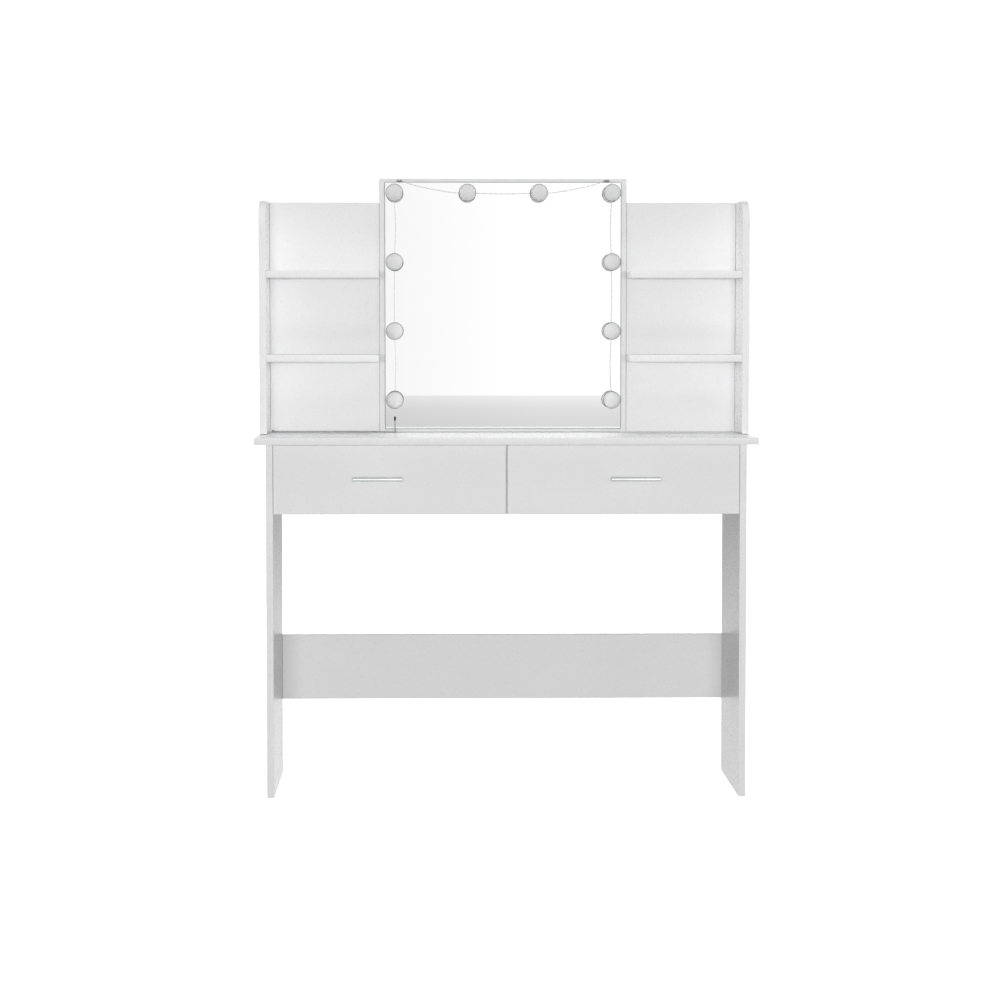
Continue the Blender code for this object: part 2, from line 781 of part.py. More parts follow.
def lead_route():
    """Return the lead's route from its connector to the mouth of the coil.

    It drops in front of the glass, lies on the desktop, follows the foot of the mirror board
    and of the left back panel, and goes through the notch to the strip behind.
    """
    x = -BULB_COLUMN
    base = BACK_FRONT - LEAD_RADIUS - 0.0006
    turn = LEAD_LANE + LEAD_BEND
    return [
        (x, WIRE_Y, CONNECTOR_TOP - CONNECTOR_LENGTH - GAP),
        (x, WIRE_Y, 0.7960),
        (x + 0.0005, WIRE_Y - 0.0030, 0.7860),
        (x + 0.0010, WIRE_Y - 0.0110, LEAD_Z + 0.0012),
        (x - 0.0010, WIRE_Y - 0.0200, LEAD_Z),
        (x - 0.0100, WIRE_Y - 0.0240, LEAD_Z),
        (x - 0.0230, WIRE_Y - 0.0170, LEAD_Z),
        (x - 0.0380, WIRE_Y - 0.0040, LEAD_Z),
        (x - 0.0580, base - 0.0010, LEAD_Z),
        (-0.345, base - 0.0002, LEAD_Z),
        (-0.395, base - 0.0012, LEAD_Z),
        (-0.445, base - 0.0002, LEAD_Z),
        (-0.490, base - 0.0004, LEAD_Z),
        (turn, base, LEAD_Z),
        (turn - 0.7 * LEAD_BEND, base + 0.3 * LEAD_BEND, LEAD_Z),
        (LEAD_LANE, base + LEAD_BEND, LEAD_Z),
        (LEAD_LANE, BACK_REAR, LEAD_Z),
        (LEAD_LANE, COIL_Y - COIL_MOUTH, LEAD_Z),
    ]


def tail_route():
    """Return the lead's route from the coil's top turn down to the plug."""
    top = DESK_REST + COIL_HEIGHT - LEAD_RADIUS
    plug_z = DESK_REST + PLUG_BODY[2] / 2
    return [
        (COIL_X + COIL_MOUTH, TAIL_LANE, top),
        (COIL_X + 0.0180, TAIL_LANE - 0.0012, top - 0.0016),
        (COIL_X + 0.0290, TAIL_LANE - 0.0052, plug_z + 0.0020),
        (PLUG_X - PLUG_RELIEF - 0.0050, TAIL_LANE - 0.0072, plug_z),
        (PLUG_X - PLUG_RELIEF - GAP, TAIL_LANE - 0.0072, plug_z),
    ]


def build_lead():
    """Lead, its wound spare length, its tail and its plug."""
    for name, route in (("light_lead", lead_route()), ("light_lead_tail", tail_route())):
        add_tube(name, smooth_route(route, LEAD_STEP), LEAD_RADIUS, "grey_plastic")
    edge, top = COIL_EDGE, COIL_HEIGHT
    profile = [
        (COIL_INNER + edge, top),
        (COIL_OUTER - edge, top),
        (COIL_OUTER, top - edge),
        (COIL_OUTER, edge),
        (COIL_OUTER - edge, 0),
        (COIL_INNER + edge, 0),
        (COIL_INNER, edge),
        (COIL_INNER, top - edge),
        (COIL_INNER + edge, top),
    ]
    add_turned("light_lead_coil", profile, 32, "grey_plastic", (COIL_X, COIL_Y, DESK_REST))
    add_plug(tail_route()[-1])


def add_plug(meeting):
    """Add the plug: a moulded grip with a tapered relief behind and a metal shell ahead."""
    y, z = meeting[1], meeting[2]
    length, width, height = PLUG_BODY
    body = add_board(
        "lead_plug",
        (PLUG_X, y - width / 2, z - height / 2),
        (PLUG_X + length, y + width / 2, z + height / 2),
        "grey_plastic",
        chamfer=PLUG_EDGE,
    )

    def relief(bm):
        start = Vector((PLUG_X - PLUG_RELIEF, y, z))
        axis = Vector((PLUG_RELIEF + 0.002, 0, 0))
        turn = axis.to_track_quat("Z", "Y").to_matrix().to_4x4()
        turn.translation = start + axis / 2
        bmesh.ops.create_cone(
            bm, cap_ends=True, segments=16, radius1=LEAD_RADIUS + 0.0004,
            radius2=LEAD_RADIUS + 0.0012, depth=axis.length, matrix=turn,
        )

    join_helper(body, bmesh_object("lead_plug_relief", relief, None, helper=True))
    shell_length, shell_width, shell_height = PLUG_SHELL
    front = PLUG_X + length
    middle, size = middle_and_size(
        (front - 0.002, y - shell_width / 2, z - shell_height / 2),
        (front + shell_length, y + shell_width / 2, z + shell_height / 2),
    )

    def shell(bm):
        bmesh.ops.create_cube(bm, size=1.0)
        bmesh.ops.scale(bm, vec=size, verts=bm.verts)
        bmesh.ops.translate(bm, vec=middle, verts=bm.verts)

    join_helper(body, bmesh_object("lead_plug_shell", shell, None, helper=True))


clear_scene()
MODEL = new_collection("vanity_table")
CUTTERS = new_collection("cutters")
build_carcass()
build_drawer("left", -1)
build_drawer("right", 1)
build_cabinet_runners()
build_hutch()
build_mirror()
build_bulbs()
build_light_string()
build_lead()
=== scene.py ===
"""Looks of the vanity table: a white flat-pack table with a bulb-lit mirror, open side
shelves and two drawers.

Every board is rebuilt as a melamine slab with its own edge band, in the exact space of its
CAD node. The bulbs, handles, wire, lead, fittings and screws are modelled in detail around
the same boxes. Units are metres, +X the viewer's right, -Y the front, +Z up.
"""

import json
import math

import bmesh
import bpy
from mathutils import Matrix, Vector

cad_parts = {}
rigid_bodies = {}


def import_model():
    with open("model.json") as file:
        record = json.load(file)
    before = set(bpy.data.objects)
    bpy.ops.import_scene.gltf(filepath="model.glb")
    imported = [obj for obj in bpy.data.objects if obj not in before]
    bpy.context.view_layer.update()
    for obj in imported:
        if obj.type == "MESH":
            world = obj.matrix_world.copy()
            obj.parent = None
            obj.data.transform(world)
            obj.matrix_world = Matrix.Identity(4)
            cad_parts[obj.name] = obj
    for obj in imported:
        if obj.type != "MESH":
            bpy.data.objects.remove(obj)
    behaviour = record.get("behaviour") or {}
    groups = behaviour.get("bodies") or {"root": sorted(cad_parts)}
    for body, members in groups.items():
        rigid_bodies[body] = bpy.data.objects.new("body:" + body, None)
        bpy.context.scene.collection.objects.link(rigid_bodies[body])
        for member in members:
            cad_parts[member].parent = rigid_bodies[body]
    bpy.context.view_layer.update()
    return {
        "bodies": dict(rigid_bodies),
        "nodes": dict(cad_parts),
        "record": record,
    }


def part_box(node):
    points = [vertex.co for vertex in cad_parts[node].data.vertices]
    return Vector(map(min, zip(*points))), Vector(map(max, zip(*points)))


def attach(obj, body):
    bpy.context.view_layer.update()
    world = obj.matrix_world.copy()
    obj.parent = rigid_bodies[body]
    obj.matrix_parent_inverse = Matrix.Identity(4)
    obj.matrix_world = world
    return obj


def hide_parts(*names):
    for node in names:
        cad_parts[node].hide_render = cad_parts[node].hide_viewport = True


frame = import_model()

BODY_OF = {
    node: body
    for body, nodes in frame["record"]["behaviour"]["bodies"].items()
    for node in nodes
}
SIDES = (("left", -1), ("right", 1))
X, Y, Z = 0, 1, 2
BACKWARDS = (0, 1, 0)
DOWN = (0, 0, -1)

# Facets of turned pieces, and the angle above which an edge stays crisp
SMALL_TURN = 24
SLIM_TURN = 32
USUAL_TURN = 40
BULB_TURN = 64
RIBBED_TURN = 96
SMOOTH_ANGLE = 35

# Camera, its yaw and pitch in degrees and its lens in millimetres
CAMERA_PLACE = (-0.1570, -6.3788, 1.0170)
CAMERA_YAW = 1.318
CAMERA_PITCH = 3.446
CAMERA_LENS = 104.48
CAMERA_SENSOR = 36.0
CAMERA_REACH = 200.0

# Surroundings: light from below and above, and what polished pieces reflect, as (height of
# the direction, brightness) stops, dimmed by how far the direction points to the left
AMBIENT_BELOW = 0.19
AMBIENT_ABOVE = 0.20
AMBIENT_BLEND = 0.15
BACKDROP = 1.03
REFLECTED_SKY = (
    (-1.00, 0.62), (-0.45, 0.70), (-0.38, 1.60), (-0.12, 1.60), (-0.07, 0.70), (-0.0350, 0.70),
    (-0.0328, 0.71), (-0.0287, 0.75), (-0.0260, 0.82), (-0.0242, 0.87), (-0.0241, 1.03),
    (0.06, 1.03), (0.12, 1.60), (0.34, 1.60), (0.42, 0.60), (1.00, 0.60),
)
REFLECTED_LEFT = (-0.017, 0.92)
REFLECTED_RIGHT = (0.037, 1.02)
FLOOR_REACH = 60.0
FLOOR_GLOW = 0.85

# Lights: watts or sun strengths, and angles in degrees
AIM = (0.0, 0.0, 0.9)
KEY_POWER = 455
KEY_SIZE = (3.0, 0.5)
KEY_PLACE = (-0.1, -9.0, 1.1)
SIDE_POWER = 0.10
SIDE_TURN = 35
SIDE_DISTANCE = 6
SIDE_HEIGHT = 1.6
SIDE_SPREAD = 30
HUTCH_POWER = 225
HUTCH_PLACE = (3.2, -0.55, 1.12)
HUTCH_TARGET = (0.50, 0.06, 1.04)
HUTCH_BEAM = 13
HUTCH_SOFTNESS = 0.25
TOP_POWER = 1.25
TOP_PLACE = (0.0, -0.4, 5.0)
TOP_SPREAD = 14
BACK_POWER = 1.4
BACK_PLACE = (0.0, 6.0, 1.9)
BACK_SPREAD = 10

# Boards: the band, its seam with the core, and the corners seen from the flat side
BAND = 0.0006
BAND_SEAM = 0.00015
BAND_ROUND = 0.0005
CORNER_ROUND = 0.0009
SIDE_CORNER_RADIUS = 0.055
FOOT_GAP = 0.0010
NOTCH_WIDTH = 0.009
NOTCH_HEIGHT = 0.0042

# Mirror
GLASS_ARRIS = 0.0012
GLASS_SMOOTHING = 10

# Fittings
SCREW_RADIUS = 0.0036
SCREW_HEIGHT = 0.0011
SCREW_INSET = 0.030
SCREW_SPIN = 0.9  # radians from one slot to the next
SIDE_SCREW_INSET = 0.035
DRAWER_SCREW_INSET = 0.020
SHELF_SCREWS = (0.330, 0.470)
PANEL_SCREWS = (0.335, 0.455)
MIRROR_SCREWS = (-0.2, 0.0, 0.2)
CAM_RADIUS = 0.0078
CAM_INSET = 0.034
RAIL_CAM_INSET = 0.035
PLATE_SCREW_INSETS = (0.009, 0.025)
PLATE_CORNER = 0.004
PLATE_EASE = 0.0002

# Drawers: bottom panel, handle, rollers and runners
BOTTOM_GAP = 0.0004
BOTTOM_ROUND = 0.0003
HANDLE_EASE = 0.0009
POST_SPACING = 0.064
POST_RADIUS = 0.0026
POST_GAP = 0.0001
ROLLER_RADIUS = 0.0071
ROLLER_WIDTH = 0.0070
ROLLER_INSET = 0.010
RUNNER_SHEET = 0.0013
RUNNER_WEB = 0.001
FIXED_ROLLER_HEIGHT = 0.0084
DRAWER_ROLLER_HEIGHT = 0.0091
DRAWER_RUNNER_SCREW_HEIGHT = 0.008

# Light string: bulbs along their axis from the glass, wire and clips
BULB_RADIUS = 0.0195
BULB_BASE_RADIUS = 0.015
BULB_DEPTH = 0.052
BULB_BASE_RIBS = (0.0032, 0.0112, 0.0006, RIBBED_TURN // 3)  # from, to, depth, count
RIM_PLACE = 0.0212
RIM_WIDTH = 0.0030
CHANNEL_WIDTH = 0.0032
CHANNEL_DEPTH = 0.0062
WIRE_RADIUS = 0.0008
WIRE_TWIST = 0.026
WIRE_STANDOFF = 0.004
WIRE_BOW = 0.0022
WIRE_STEP = 0.0026
CLIP_X = 0.232
CLIP_Z = 1.3395
CLIP_SLOT = 0.0022
CLIP_EASE = 0.0005

# Lead, coil, strap and plug; GAP keeps touching pieces apart
GAP = 0.0003
LEAD_STEP = 0.006
LEAD_RADIUS = 0.0013
LEAD_BEND = 0.0055
COIL_COLUMNS = 3
COIL_LAYERS = 4
COIL_TURN_RADIUS = 0.0143
COIL_POINTS_PER_TURN = 24
COIL_BULGE = 0.0009
STRAP_TURN = 62
STRAP_HALF = 0.0045
STRAP_SLACK = 0.0001
STRAP_THICKNESS = 0.0002
STRAP_ROUND = 0.0011
STRAP_LAP = 0.0004
STRAP_LAP_MARGIN = 0.0006
STRAP_LAP_ENDS = (0.0010, 0.0014)
STRAP_LAP_EASE = 0.00015
PLUG_RELIEF = 0.010
PLUG_GRIP = 0.022
PLUG_ROUND = 0.0016
PLUG_RIDGES = 5
PLUG_RIDGE_INSET = 0.005
PLUG_RIDGE_PITCH = 0.0024
PLUG_RIDGE_WIDTH = 0.0010
PLUG_RIDGE_RISE = 0.0001
PLUG_RIDGE_MARGIN = 0.0015
SHELL_HALF_WIDTH = 0.0059
SHELL_HALF_HEIGHT = 0.00225
SHELL_WALL = 0.0004
SHELL_EASE = 0.00012
SHELL_SUNK = 0.001
TONGUE_THICKNESS = 0.0016

# From the frame
DESK_LOW, DESK_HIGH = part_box("desktop")
BACK_LOW, BACK_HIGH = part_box("left_back_panel")
GLASS_LOW, GLASS_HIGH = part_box("mirror_glass")
BULB_NODES = ["light_bulb_{:02d}".format(number) for number in range(1, 11)]
BULB_STATIONS = [(sum(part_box(node), Vector()) / 2).xz for node in BULB_NODES]
BULB_COLUMN = BULB_STATIONS[-1][0]
BULB_TOP_ROW = BULB_STATIONS[4][1]
BULB_MIDDLE = BULB_STATIONS[5][0]
BULB_ROWS = 4
BULB_PITCH = (BULB_TOP_ROW - BULB_STATIONS[0][1]) / (BULB_ROWS - 1)
WIRE_Y = GLASS_LOW.y - WIRE_STANDOFF
DESK_REST = DESK_HIGH.z + GAP
HUTCH_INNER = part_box("right_hutch_side")[0].x
CONNECTOR_LOW, CONNECTOR_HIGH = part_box("lead_connector")
COIL_LOW, COIL_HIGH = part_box("light_lead_coil")
COIL_MIDDLE = (COIL_LOW + COIL_HIGH) / 2
COIL_INNER = COIL_TURN_RADIUS - COIL_COLUMNS * LEAD_RADIUS
COIL_OUTER = COIL_TURN_RADIUS + COIL_COLUMNS * LEAD_RADIUS
LEAD_LANE = COIL_MIDDLE.x - COIL_OUTER + LEAD_RADIUS
TAIL_LANE = COIL_MIDDLE.y + COIL_OUTER - LEAD_RADIUS
COIL_MOUTH = math.sqrt(COIL_OUTER ** 2 - (COIL_OUTER - 2 * LEAD_RADIUS) ** 2) + GAP
LEAD_Z = DESK_REST + LEAD_RADIUS
PLUG_LOW, PLUG_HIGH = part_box("lead_plug")
PLUG_MIDDLE = (PLUG_LOW + PLUG_HIGH) / 2


# ---------------------------------------------------------------- materials

# The ranges that most of a noise's and of a cell pattern's values are in
USUAL_SPREAD = (0.3, 0.7)
CELL_SPREAD = (0.1, 0.7)
MICRON = 0.000001


def grain(scale, detail=2.0, stretch=(1, 1, 1)):
    """Describe a noise with this many features a metre."""
    return ("TexNoise", "Fac", stretch, {"Scale": scale, "Detail": detail})


def cells(scale):
    """Describe a pattern with this many cells a metre."""
    return ("TexVoronoi", "Distance", (1, 1, 1), {"Scale": scale})


def add_node(tree, kind, settings=(), **inputs):
    """Add a shader node; each input, named with _ for a space, is a value or a socket."""
    node = tree.nodes.new("ShaderNode" + kind)
    for name, value in dict(settings).items():
        setattr(node, name, value)
    fill_inputs(tree, node, inputs)
    return node


def fill_inputs(tree, node, inputs):
    """Link or set a node's inputs by name."""
    for name, value in inputs.items():
        socket = node.inputs[name.replace("_", " ")]
        if isinstance(value, bpy.types.NodeSocket):
            tree.links.new(value, socket)
        else:
            socket.default_value = value


def combine(tree, operation, first, second):
    """Return the sum, product or such of two sockets."""
    node = add_node(tree, "Math", {"operation": operation})
    for socket, value in zip(node.inputs, (first, second)):
        tree.links.new(value, socket)
    return node.outputs["Value"]


def ranged(tree, value, source, target):
    """Return a value mapped, and held, from one (low, high) range to another."""
    return add_node(
        tree, "MapRange", Value=value, From_Min=source[0], From_Max=source[1],
        To_Min=target[0], To_Max=target[1],
    ).outputs["Result"]


def texture_value(tree, texture):
    """Return the socket with the value of a described texture."""
    kind, output, stretch, inputs = texture
    coords = add_node(tree, "TexCoord").outputs["Object"]
    place = add_node(tree, "Mapping", Vector=coords, Scale=stretch).outputs["Vector"]
    return add_node(tree, kind, Vector=place, **inputs).outputs[output]


def finish(name, color, roughness, metallic=0.0, tint=None, gloss=None, bumps=(), **sockets):
    """Return a Principled material with procedural detail.

    tint is (texture, dark, light) and scales the base colour, gloss is (texture, low, high)
    and sets the roughness, and bumps are (texture, micrometres), one over the other.
    """
    material = bpy.data.materials.new(name)
    material.use_nodes = True
    material.diffuse_color = (*color, 1.0)
    tree = material.node_tree
    sockets.update(Base_Color=(*color, 1.0), Roughness=roughness, Metallic=metallic)
    shader = tree.nodes["Principled BSDF"]
    fill_inputs(tree, shader, sockets)
    varied = {}
    if tint:
        texture, dark, light = tint
        spread = CELL_SPREAD if texture[0] == "TexVoronoi" else USUAL_SPREAD
        varied["Base_Color"] = add_node(
            tree, "Mix", {"data_type": "RGBA"},
            Factor=ranged(tree, texture_value(tree, texture), spread, (0.0, 1.0)),
            A=(*[c * dark for c in color], 1.0), B=(*[min(1.0, c * light) for c in color], 1.0),
        ).outputs["Result"]
    if gloss:
        texture, *limits = gloss
        varied["Roughness"] = ranged(tree, texture_value(tree, texture), USUAL_SPREAD, limits)
    for texture, depth in bumps:
        height = texture_value(tree, texture)
        bump = add_node(tree, "Bump", Height=height, Strength=1.0, Distance=depth * MICRON)
        if "Normal" in varied:
            tree.links.new(varied["Normal"], bump.inputs["Normal"])
        varied["Normal"] = bump.outputs["Normal"]
    fill_inputs(tree, shader, varied)
    return material


def white_plastic(name, shade, rough):
    """Return a moulded white plastic."""
    return finish(
        name, (shade, shade, shade), rough, tint=(grain(160, 3), 0.96, 1.02),
        gloss=(grain(900), rough - 0.05, rough + 0.08), bumps=[(grain(1800), 30)],
    )


def dark_plastic(name, shade, rough):
    """Return a moulded dark plastic, very slightly blue."""
    return finish(
        name, (shade, shade, shade * 1.04), rough, tint=(grain(380, 3), 0.82, 1.2),
        gloss=(grain(900), rough - 0.06, rough + 0.1), bumps=[(grain(2400), 50)],
    )


# Melamine paper pressed on board, satin with a faint pearl texture
MELAMINE = finish(
    "melamine_white", (0.82, 0.82, 0.825), 0.30, tint=(grain(5, 4), 0.985, 1.01),
    gloss=(grain(240, 3), 0.25, 0.35),
    bumps=[(grain(520, 3), 5), (grain(2400, 1), 1.5)],
)
# Banding tape round the boards, a little glossier than their faces
EDGE_BAND = finish(
    "edge_band_white", (0.81, 0.81, 0.815), 0.28, tint=(grain(40, 3), 0.985, 1.01),
    gloss=(grain(320), 0.24, 0.34), bumps=[(grain(420), 5)],
)
# Matt foil on the drawer boxes, with a fine woven print
FOIL = finish(
    "drawer_foil_white", (0.75, 0.75, 0.755), 0.5,
    tint=(grain(700, 2, (1, 0.12, 1)), 0.97, 1.01), gloss=(grain(300, 3), 0.44, 0.58),
    bumps=[(grain(1500, 2, (1, 0.15, 1)), 50)],
)
# Pressed fibre, the bare back of a drawer bottom
HARDBOARD = finish(
    "hardboard_brown", (0.24, 0.14, 0.075), 0.62, tint=(grain(900, 6), 0.72, 1.35),
    gloss=(grain(500, 3), 0.5, 0.75), bumps=[(cells(1400), 180)],
)
# Bright plating with faint handling marks
CHROME = finish(
    "chrome_bright", (0.83, 0.84, 0.85), 0.09, 1.0, tint=(grain(120, 3), 0.96, 1.02),
    gloss=(grain(260, 4, (0.2, 1, 1)), 0.06, 0.14), bumps=[(grain(900), 6)],
)
# Dull plating of plates, screws and rivets
ZINC = finish(
    "zinc_plate", (0.60, 0.61, 0.63), 0.34, 1.0, tint=(cells(380), 0.82, 1.08),
    gloss=(grain(700, 4), 0.26, 0.44), bumps=[(grain(1600, 3), 20)],
)
# Silvered glass seen from the front
SILVER = finish(
    "mirror_silver", (0.975, 0.975, 0.975), 0.0, 1.0, tint=(grain(3), 0.998, 1.0)
)
# Ground edge of float glass, slightly green
GLASS_EDGE = finish(
    "glass_edge_green", (0.13, 0.17, 0.155), 0.18, tint=(grain(60), 0.9, 1.1),
    gloss=(grain(800, 3), 0.14, 0.30), bumps=[(grain(1200), 20)], IOR=1.52,
)
# Protective paint behind the silvering
MIRROR_BACK = finish(
    "mirror_back_paint", (0.25, 0.26, 0.27), 0.6, tint=(grain(90, 3), 0.9, 1.1),
    bumps=[(grain(700, 3), 40)],
)
# Frosted plastic of an unlit bulb
FROSTED = finish(
    "bulb_frosted", (0.72, 0.72, 0.725), 0.34, tint=(grain(55, 3), 0.965, 1.02),
    gloss=(grain(1100), 0.30, 0.42), bumps=[(grain(2200), 20)],
    Coat_Weight=0.25, Coat_Roughness=0.28,
)
BULB_BASE = white_plastic("bulb_base_white", 0.66, 0.42)
CAP_PLASTIC = white_plastic("cap_white", 0.74, 0.4)
NYLON = white_plastic("nylon_white", 0.70, 0.36)
# Closed-cell foam of the bulbs' adhesive pads
FOAM = finish(
    "adhesive_foam", (0.60, 0.60, 0.58), 0.85, tint=(grain(1500, 3), 0.85, 1.08),
    bumps=[(cells(2600), 200)],
)
# Dark grey ring round each globe: painted shade standing in for the shaded outline of the bulb
RIM_SHADE = dark_plastic("bulb_rim_painted_shade", 0.19, 0.35)
# Clear-white insulation over tinned strands
WIRE_SKIN = finish(
    "wire_insulation", (0.72, 0.72, 0.72), 0.28, tint=(grain(420, 3), 0.9, 1.06),
    bumps=[(grain(1500), 30)], Coat_Weight=0.4,
)
# Soft jacket of the lead
LEAD_SKIN = finish(
    "lead_jacket", (0.38, 0.38, 0.385), 0.46, tint=(grain(230, 3), 0.85, 1.18),
    gloss=(grain(700, 3), 0.4, 0.56), bumps=[(grain(1700), 40)],
)
CONNECTOR_SKIN = dark_plastic("connector_dark", 0.03, 0.38)
CLIP_SKIN = dark_plastic("clip_grey", 0.24, 0.45)
PLUG_SKIN = dark_plastic("plug_grip", 0.07, 0.5)
CONTACT_WHITE = white_plastic("plug_tongue", 0.6, 0.4)
# White epoxy coat on pressed steel, with a slight orange peel
RUNNER_PAINT = finish(
    "runner_epoxy", (0.74, 0.74, 0.72), 0.3, tint=(grain(90, 3), 0.95, 1.02),
    gloss=(grain(500, 3), 0.24, 0.4), bumps=[(grain(800), 60)], Coat_Weight=0.3,
)
# Woven hook-and-loop strap round the spare lead
STRAP = finish(
    "strap_black", (0.03, 0.03, 0.033), 0.9, tint=(cells(2600), 0.6, 2.2),
    bumps=[(cells(3200), 220)], Sheen_Weight=0.5,
)
# Seamless studio floor; its glow keeps it white under the table
STUDIO_FLOOR = finish(
    "studio_floor", (0.90, 0.90, 0.90), 0.62, tint=(grain(1.3, 3), 0.995, 1.005),
    gloss=(grain(9, 3), 0.58, 0.68), Specular_IOR_Level=0.0,
    Emission_Color=(1.0, 1.0, 1.0, 1.0), Emission_Strength=FLOOR_GLOW,
)


# ---------------------------------------------------------------- mesh tools

def link_object(name, data):
    """Put new data in the scene as an object."""
    obj = bpy.data.objects.new(name, data)
    bpy.context.scene.collection.objects.link(obj)
    return obj


def new_object(name, bm, materials, smooth_angle=SMOOTH_ANGLE):
    """Turn a bmesh into a scene object with smooth round parts and crisp edges."""
    bmesh.ops.recalc_face_normals(bm, faces=bm.faces)
    mesh = bpy.data.meshes.new(name)
    bm.to_mesh(mesh)
    bm.free()
    for material in materials:
        mesh.materials.append(material)
    mesh.shade_smooth()
    mesh.set_sharp_from_angle(angle=math.radians(smooth_angle))
    return link_object(name, mesh)


def place_piece(obj, body, slot, *nodes):
    """Let a piece ride on a body and stand for CAD nodes; slot is not used."""
    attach(obj, body)
    if nodes:
        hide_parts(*nodes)
    return obj


def add_piece(name, bm, materials, slot, *nodes, body="carcass"):
    """Turn a bmesh into a piece on a body, or on the body of the nodes that it stands for."""
    if nodes:
        body = BODY_OF[nodes[0]]
    return place_piece(new_object(name, bm, materials), body, slot, *nodes)


def middle_of(node):
    """Return the middle of a node's box."""
    low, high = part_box(node)
    return (low + high) / 2


def box_place(low, high):
    """Return the matrix that turns a unit cube into a box."""
    low, high = Vector(low), Vector(high)
    return Matrix.Translation((low + high) / 2) @ Matrix.Diagonal((*(high - low), 1))


def to_world(axes, u, v, t):
    """Return the world point of in-plane and thickness coordinates."""
    point = Vector((0.0, 0.0, 0.0))
    for axis, value in zip(axes, (u, v, t)):
        point[axis] = value
    return point


def round_corners(corners, radii, steps=4):
    """Return an outline, anticlockwise, with each corner turned by an arc of its radius."""
    outline = []
    count = len(corners)
    for i, radius in enumerate(radii):
        here = Vector(corners[i])
        back = (Vector(corners[i - 1]) - here).normalized()
        ahead = (Vector(corners[(i + 1) % count]) - here).normalized()
        half = back.angle(ahead) / 2
        start = here + back * (radius / math.tan(half))
        end = here + ahead * (radius / math.tan(half))
        centre = here + (back + ahead).normalized() * (radius / math.sin(half))
        for step in range(steps + 1):
            along = start.lerp(end, step / steps) - centre
            outline.append(centre + along.normalized() * radius)
    return outline


def inward_steps(outline):
    """Return each point's mitred step for one metre inwards, on an anticlockwise outline."""
    steps = []
    count = len(outline)
    for i, here in enumerate(outline):
        arriving = (here - outline[i - 1]).normalized()
        leaving = (outline[(i + 1) % count] - here).normalized()
        left = Vector((-arriving.y, arriving.x))
        step = (left + Vector((-leaving.y, leaving.x))).normalized()
        steps.append(step / step.dot(left))
    return steps


def quarter_arc(steps):
    """Return the (1 - sin, 1 - cos) pairs of evenly spaced angles from 0 to 90 degrees."""
    angles = [math.pi / 2 * step / steps for step in range(steps + 1)]
    return [(1 - math.sin(angle), 1 - math.cos(angle)) for angle in angles]


def join_rings(bm, rings, material=0):
    """Join neighbouring rings of vertices with faces; a ring of one vertex is a tip."""
    for near, far in zip(rings, rings[1:]):
        count = max(len(near), len(far))
        for i in range(count):
            j = (i + 1) % count
            corners = [near[i % len(near)], near[j % len(near)]]
            corners += [far[j % len(far)], far[i % len(far)]]
            corners = list(dict.fromkeys(corners))
            if len(corners) > 2:
                bm.faces.new(corners).material_index = material


def add_slab(bm, outline, t_low, t_high, axes):
    """Add a board: a flat core, and round it a band of the second material, edges eased."""
    steps = inward_steps(outline)
    inset = [p + s * (BAND + BAND_SEAM) for p, s in zip(outline, steps)]
    add_prism(bm, inset, t_low, t_high, axes)
    arc = [(BAND_ROUND * u, BAND_ROUND * v) for u, v in quarter_arc(3)]
    section = [(BAND, t_low)]
    section += [(depth, t_low + rise) for depth, rise in arc]
    section += [(depth, t_high - rise) for rise, depth in arc]
    section += [(BAND, t_high)]
    rings = [
        [bm.verts.new(to_world(axes, *(p + s * depth), t)) for depth, t in section]
        for p, s in zip(outline, steps)
    ]
    join_rings(bm, rings + rings[:1], 1)


def add_prism(bm, outline, t_low, t_high, axes):
    """Add a straight solid on a flat outline and return its two flat ends."""
    low = [bm.verts.new(to_world(axes, *p, t_low)) for p in outline]
    high = [bm.verts.new(to_world(axes, *p, t_high)) for p in outline]
    join_rings(bm, [low, high])
    return [bm.faces.new(low), bm.faces.new(high)]


def bevel_edges(bm, edges, radius, segments):
    """Round some edges."""
    bmesh.ops.bevel(
        bm, geom=list(edges), offset=radius, segments=segments, profile=0.5, affect="EDGES"
    )


def ease_rims(bm, faces, radius):
    """Round the edges of some faces."""
    bevel_edges(bm, {edge for face in faces for edge in face.edges}, radius, 2)


def add_block(bm, low, high, radius, material, segments):
    """Add a box with rounded edges."""
    before = set(bm.verts)
    made = bmesh.ops.create_cube(bm, size=1.0, matrix=box_place(low, high))
    edges = {edge for vert in made["verts"] for edge in vert.link_edges}
    bevel_edges(bm, edges, radius, segments)
    for face in bm.faces:
        if face.verts[0] not in before:
            face.material_index = material


def add_lathe(bm, profile, segments, place, material=0, ribs=None):
    """Add a turned solid from an (r, z) profile that starts and ends on its axis.

    ribs, if given, is (low z, high z, depth, count): grooves round that stretch.
    """
    rings = []
    for radius, height in profile:
        if radius == 0:
            rings.append([bm.verts.new(place @ Vector((0, 0, height)))])
            continue
        ring = []
        for i in range(segments):
            angle = math.tau * i / segments
            r = radius
            if ribs and ribs[0] < height < ribs[1]:
                r -= ribs[2] * (0.5 - 0.5 * math.cos(angle * ribs[3]))
            ring.append(bm.verts.new(
                place @ Vector((r * math.cos(angle), r * math.sin(angle), height))
            ))
        rings.append(ring)
    join_rings(bm, rings, material)


def facing(location, direction, spin=0.0):
    """Return the matrix that puts a piece's own +Z along a direction at a place."""
    turn = Vector(direction).to_track_quat("Z", "Y").to_matrix().to_4x4()
    return Matrix.Translation(location) @ turn @ Matrix.Rotation(spin, 4, "Z")


def stamp(bm, template, place):
    """Add a copy of a template mesh at a place."""
    before = len(bm.verts)
    bm.from_mesh(template)
    bm.verts.ensure_lookup_table()
    bmesh.ops.transform(bm, matrix=place, verts=bm.verts[before:])


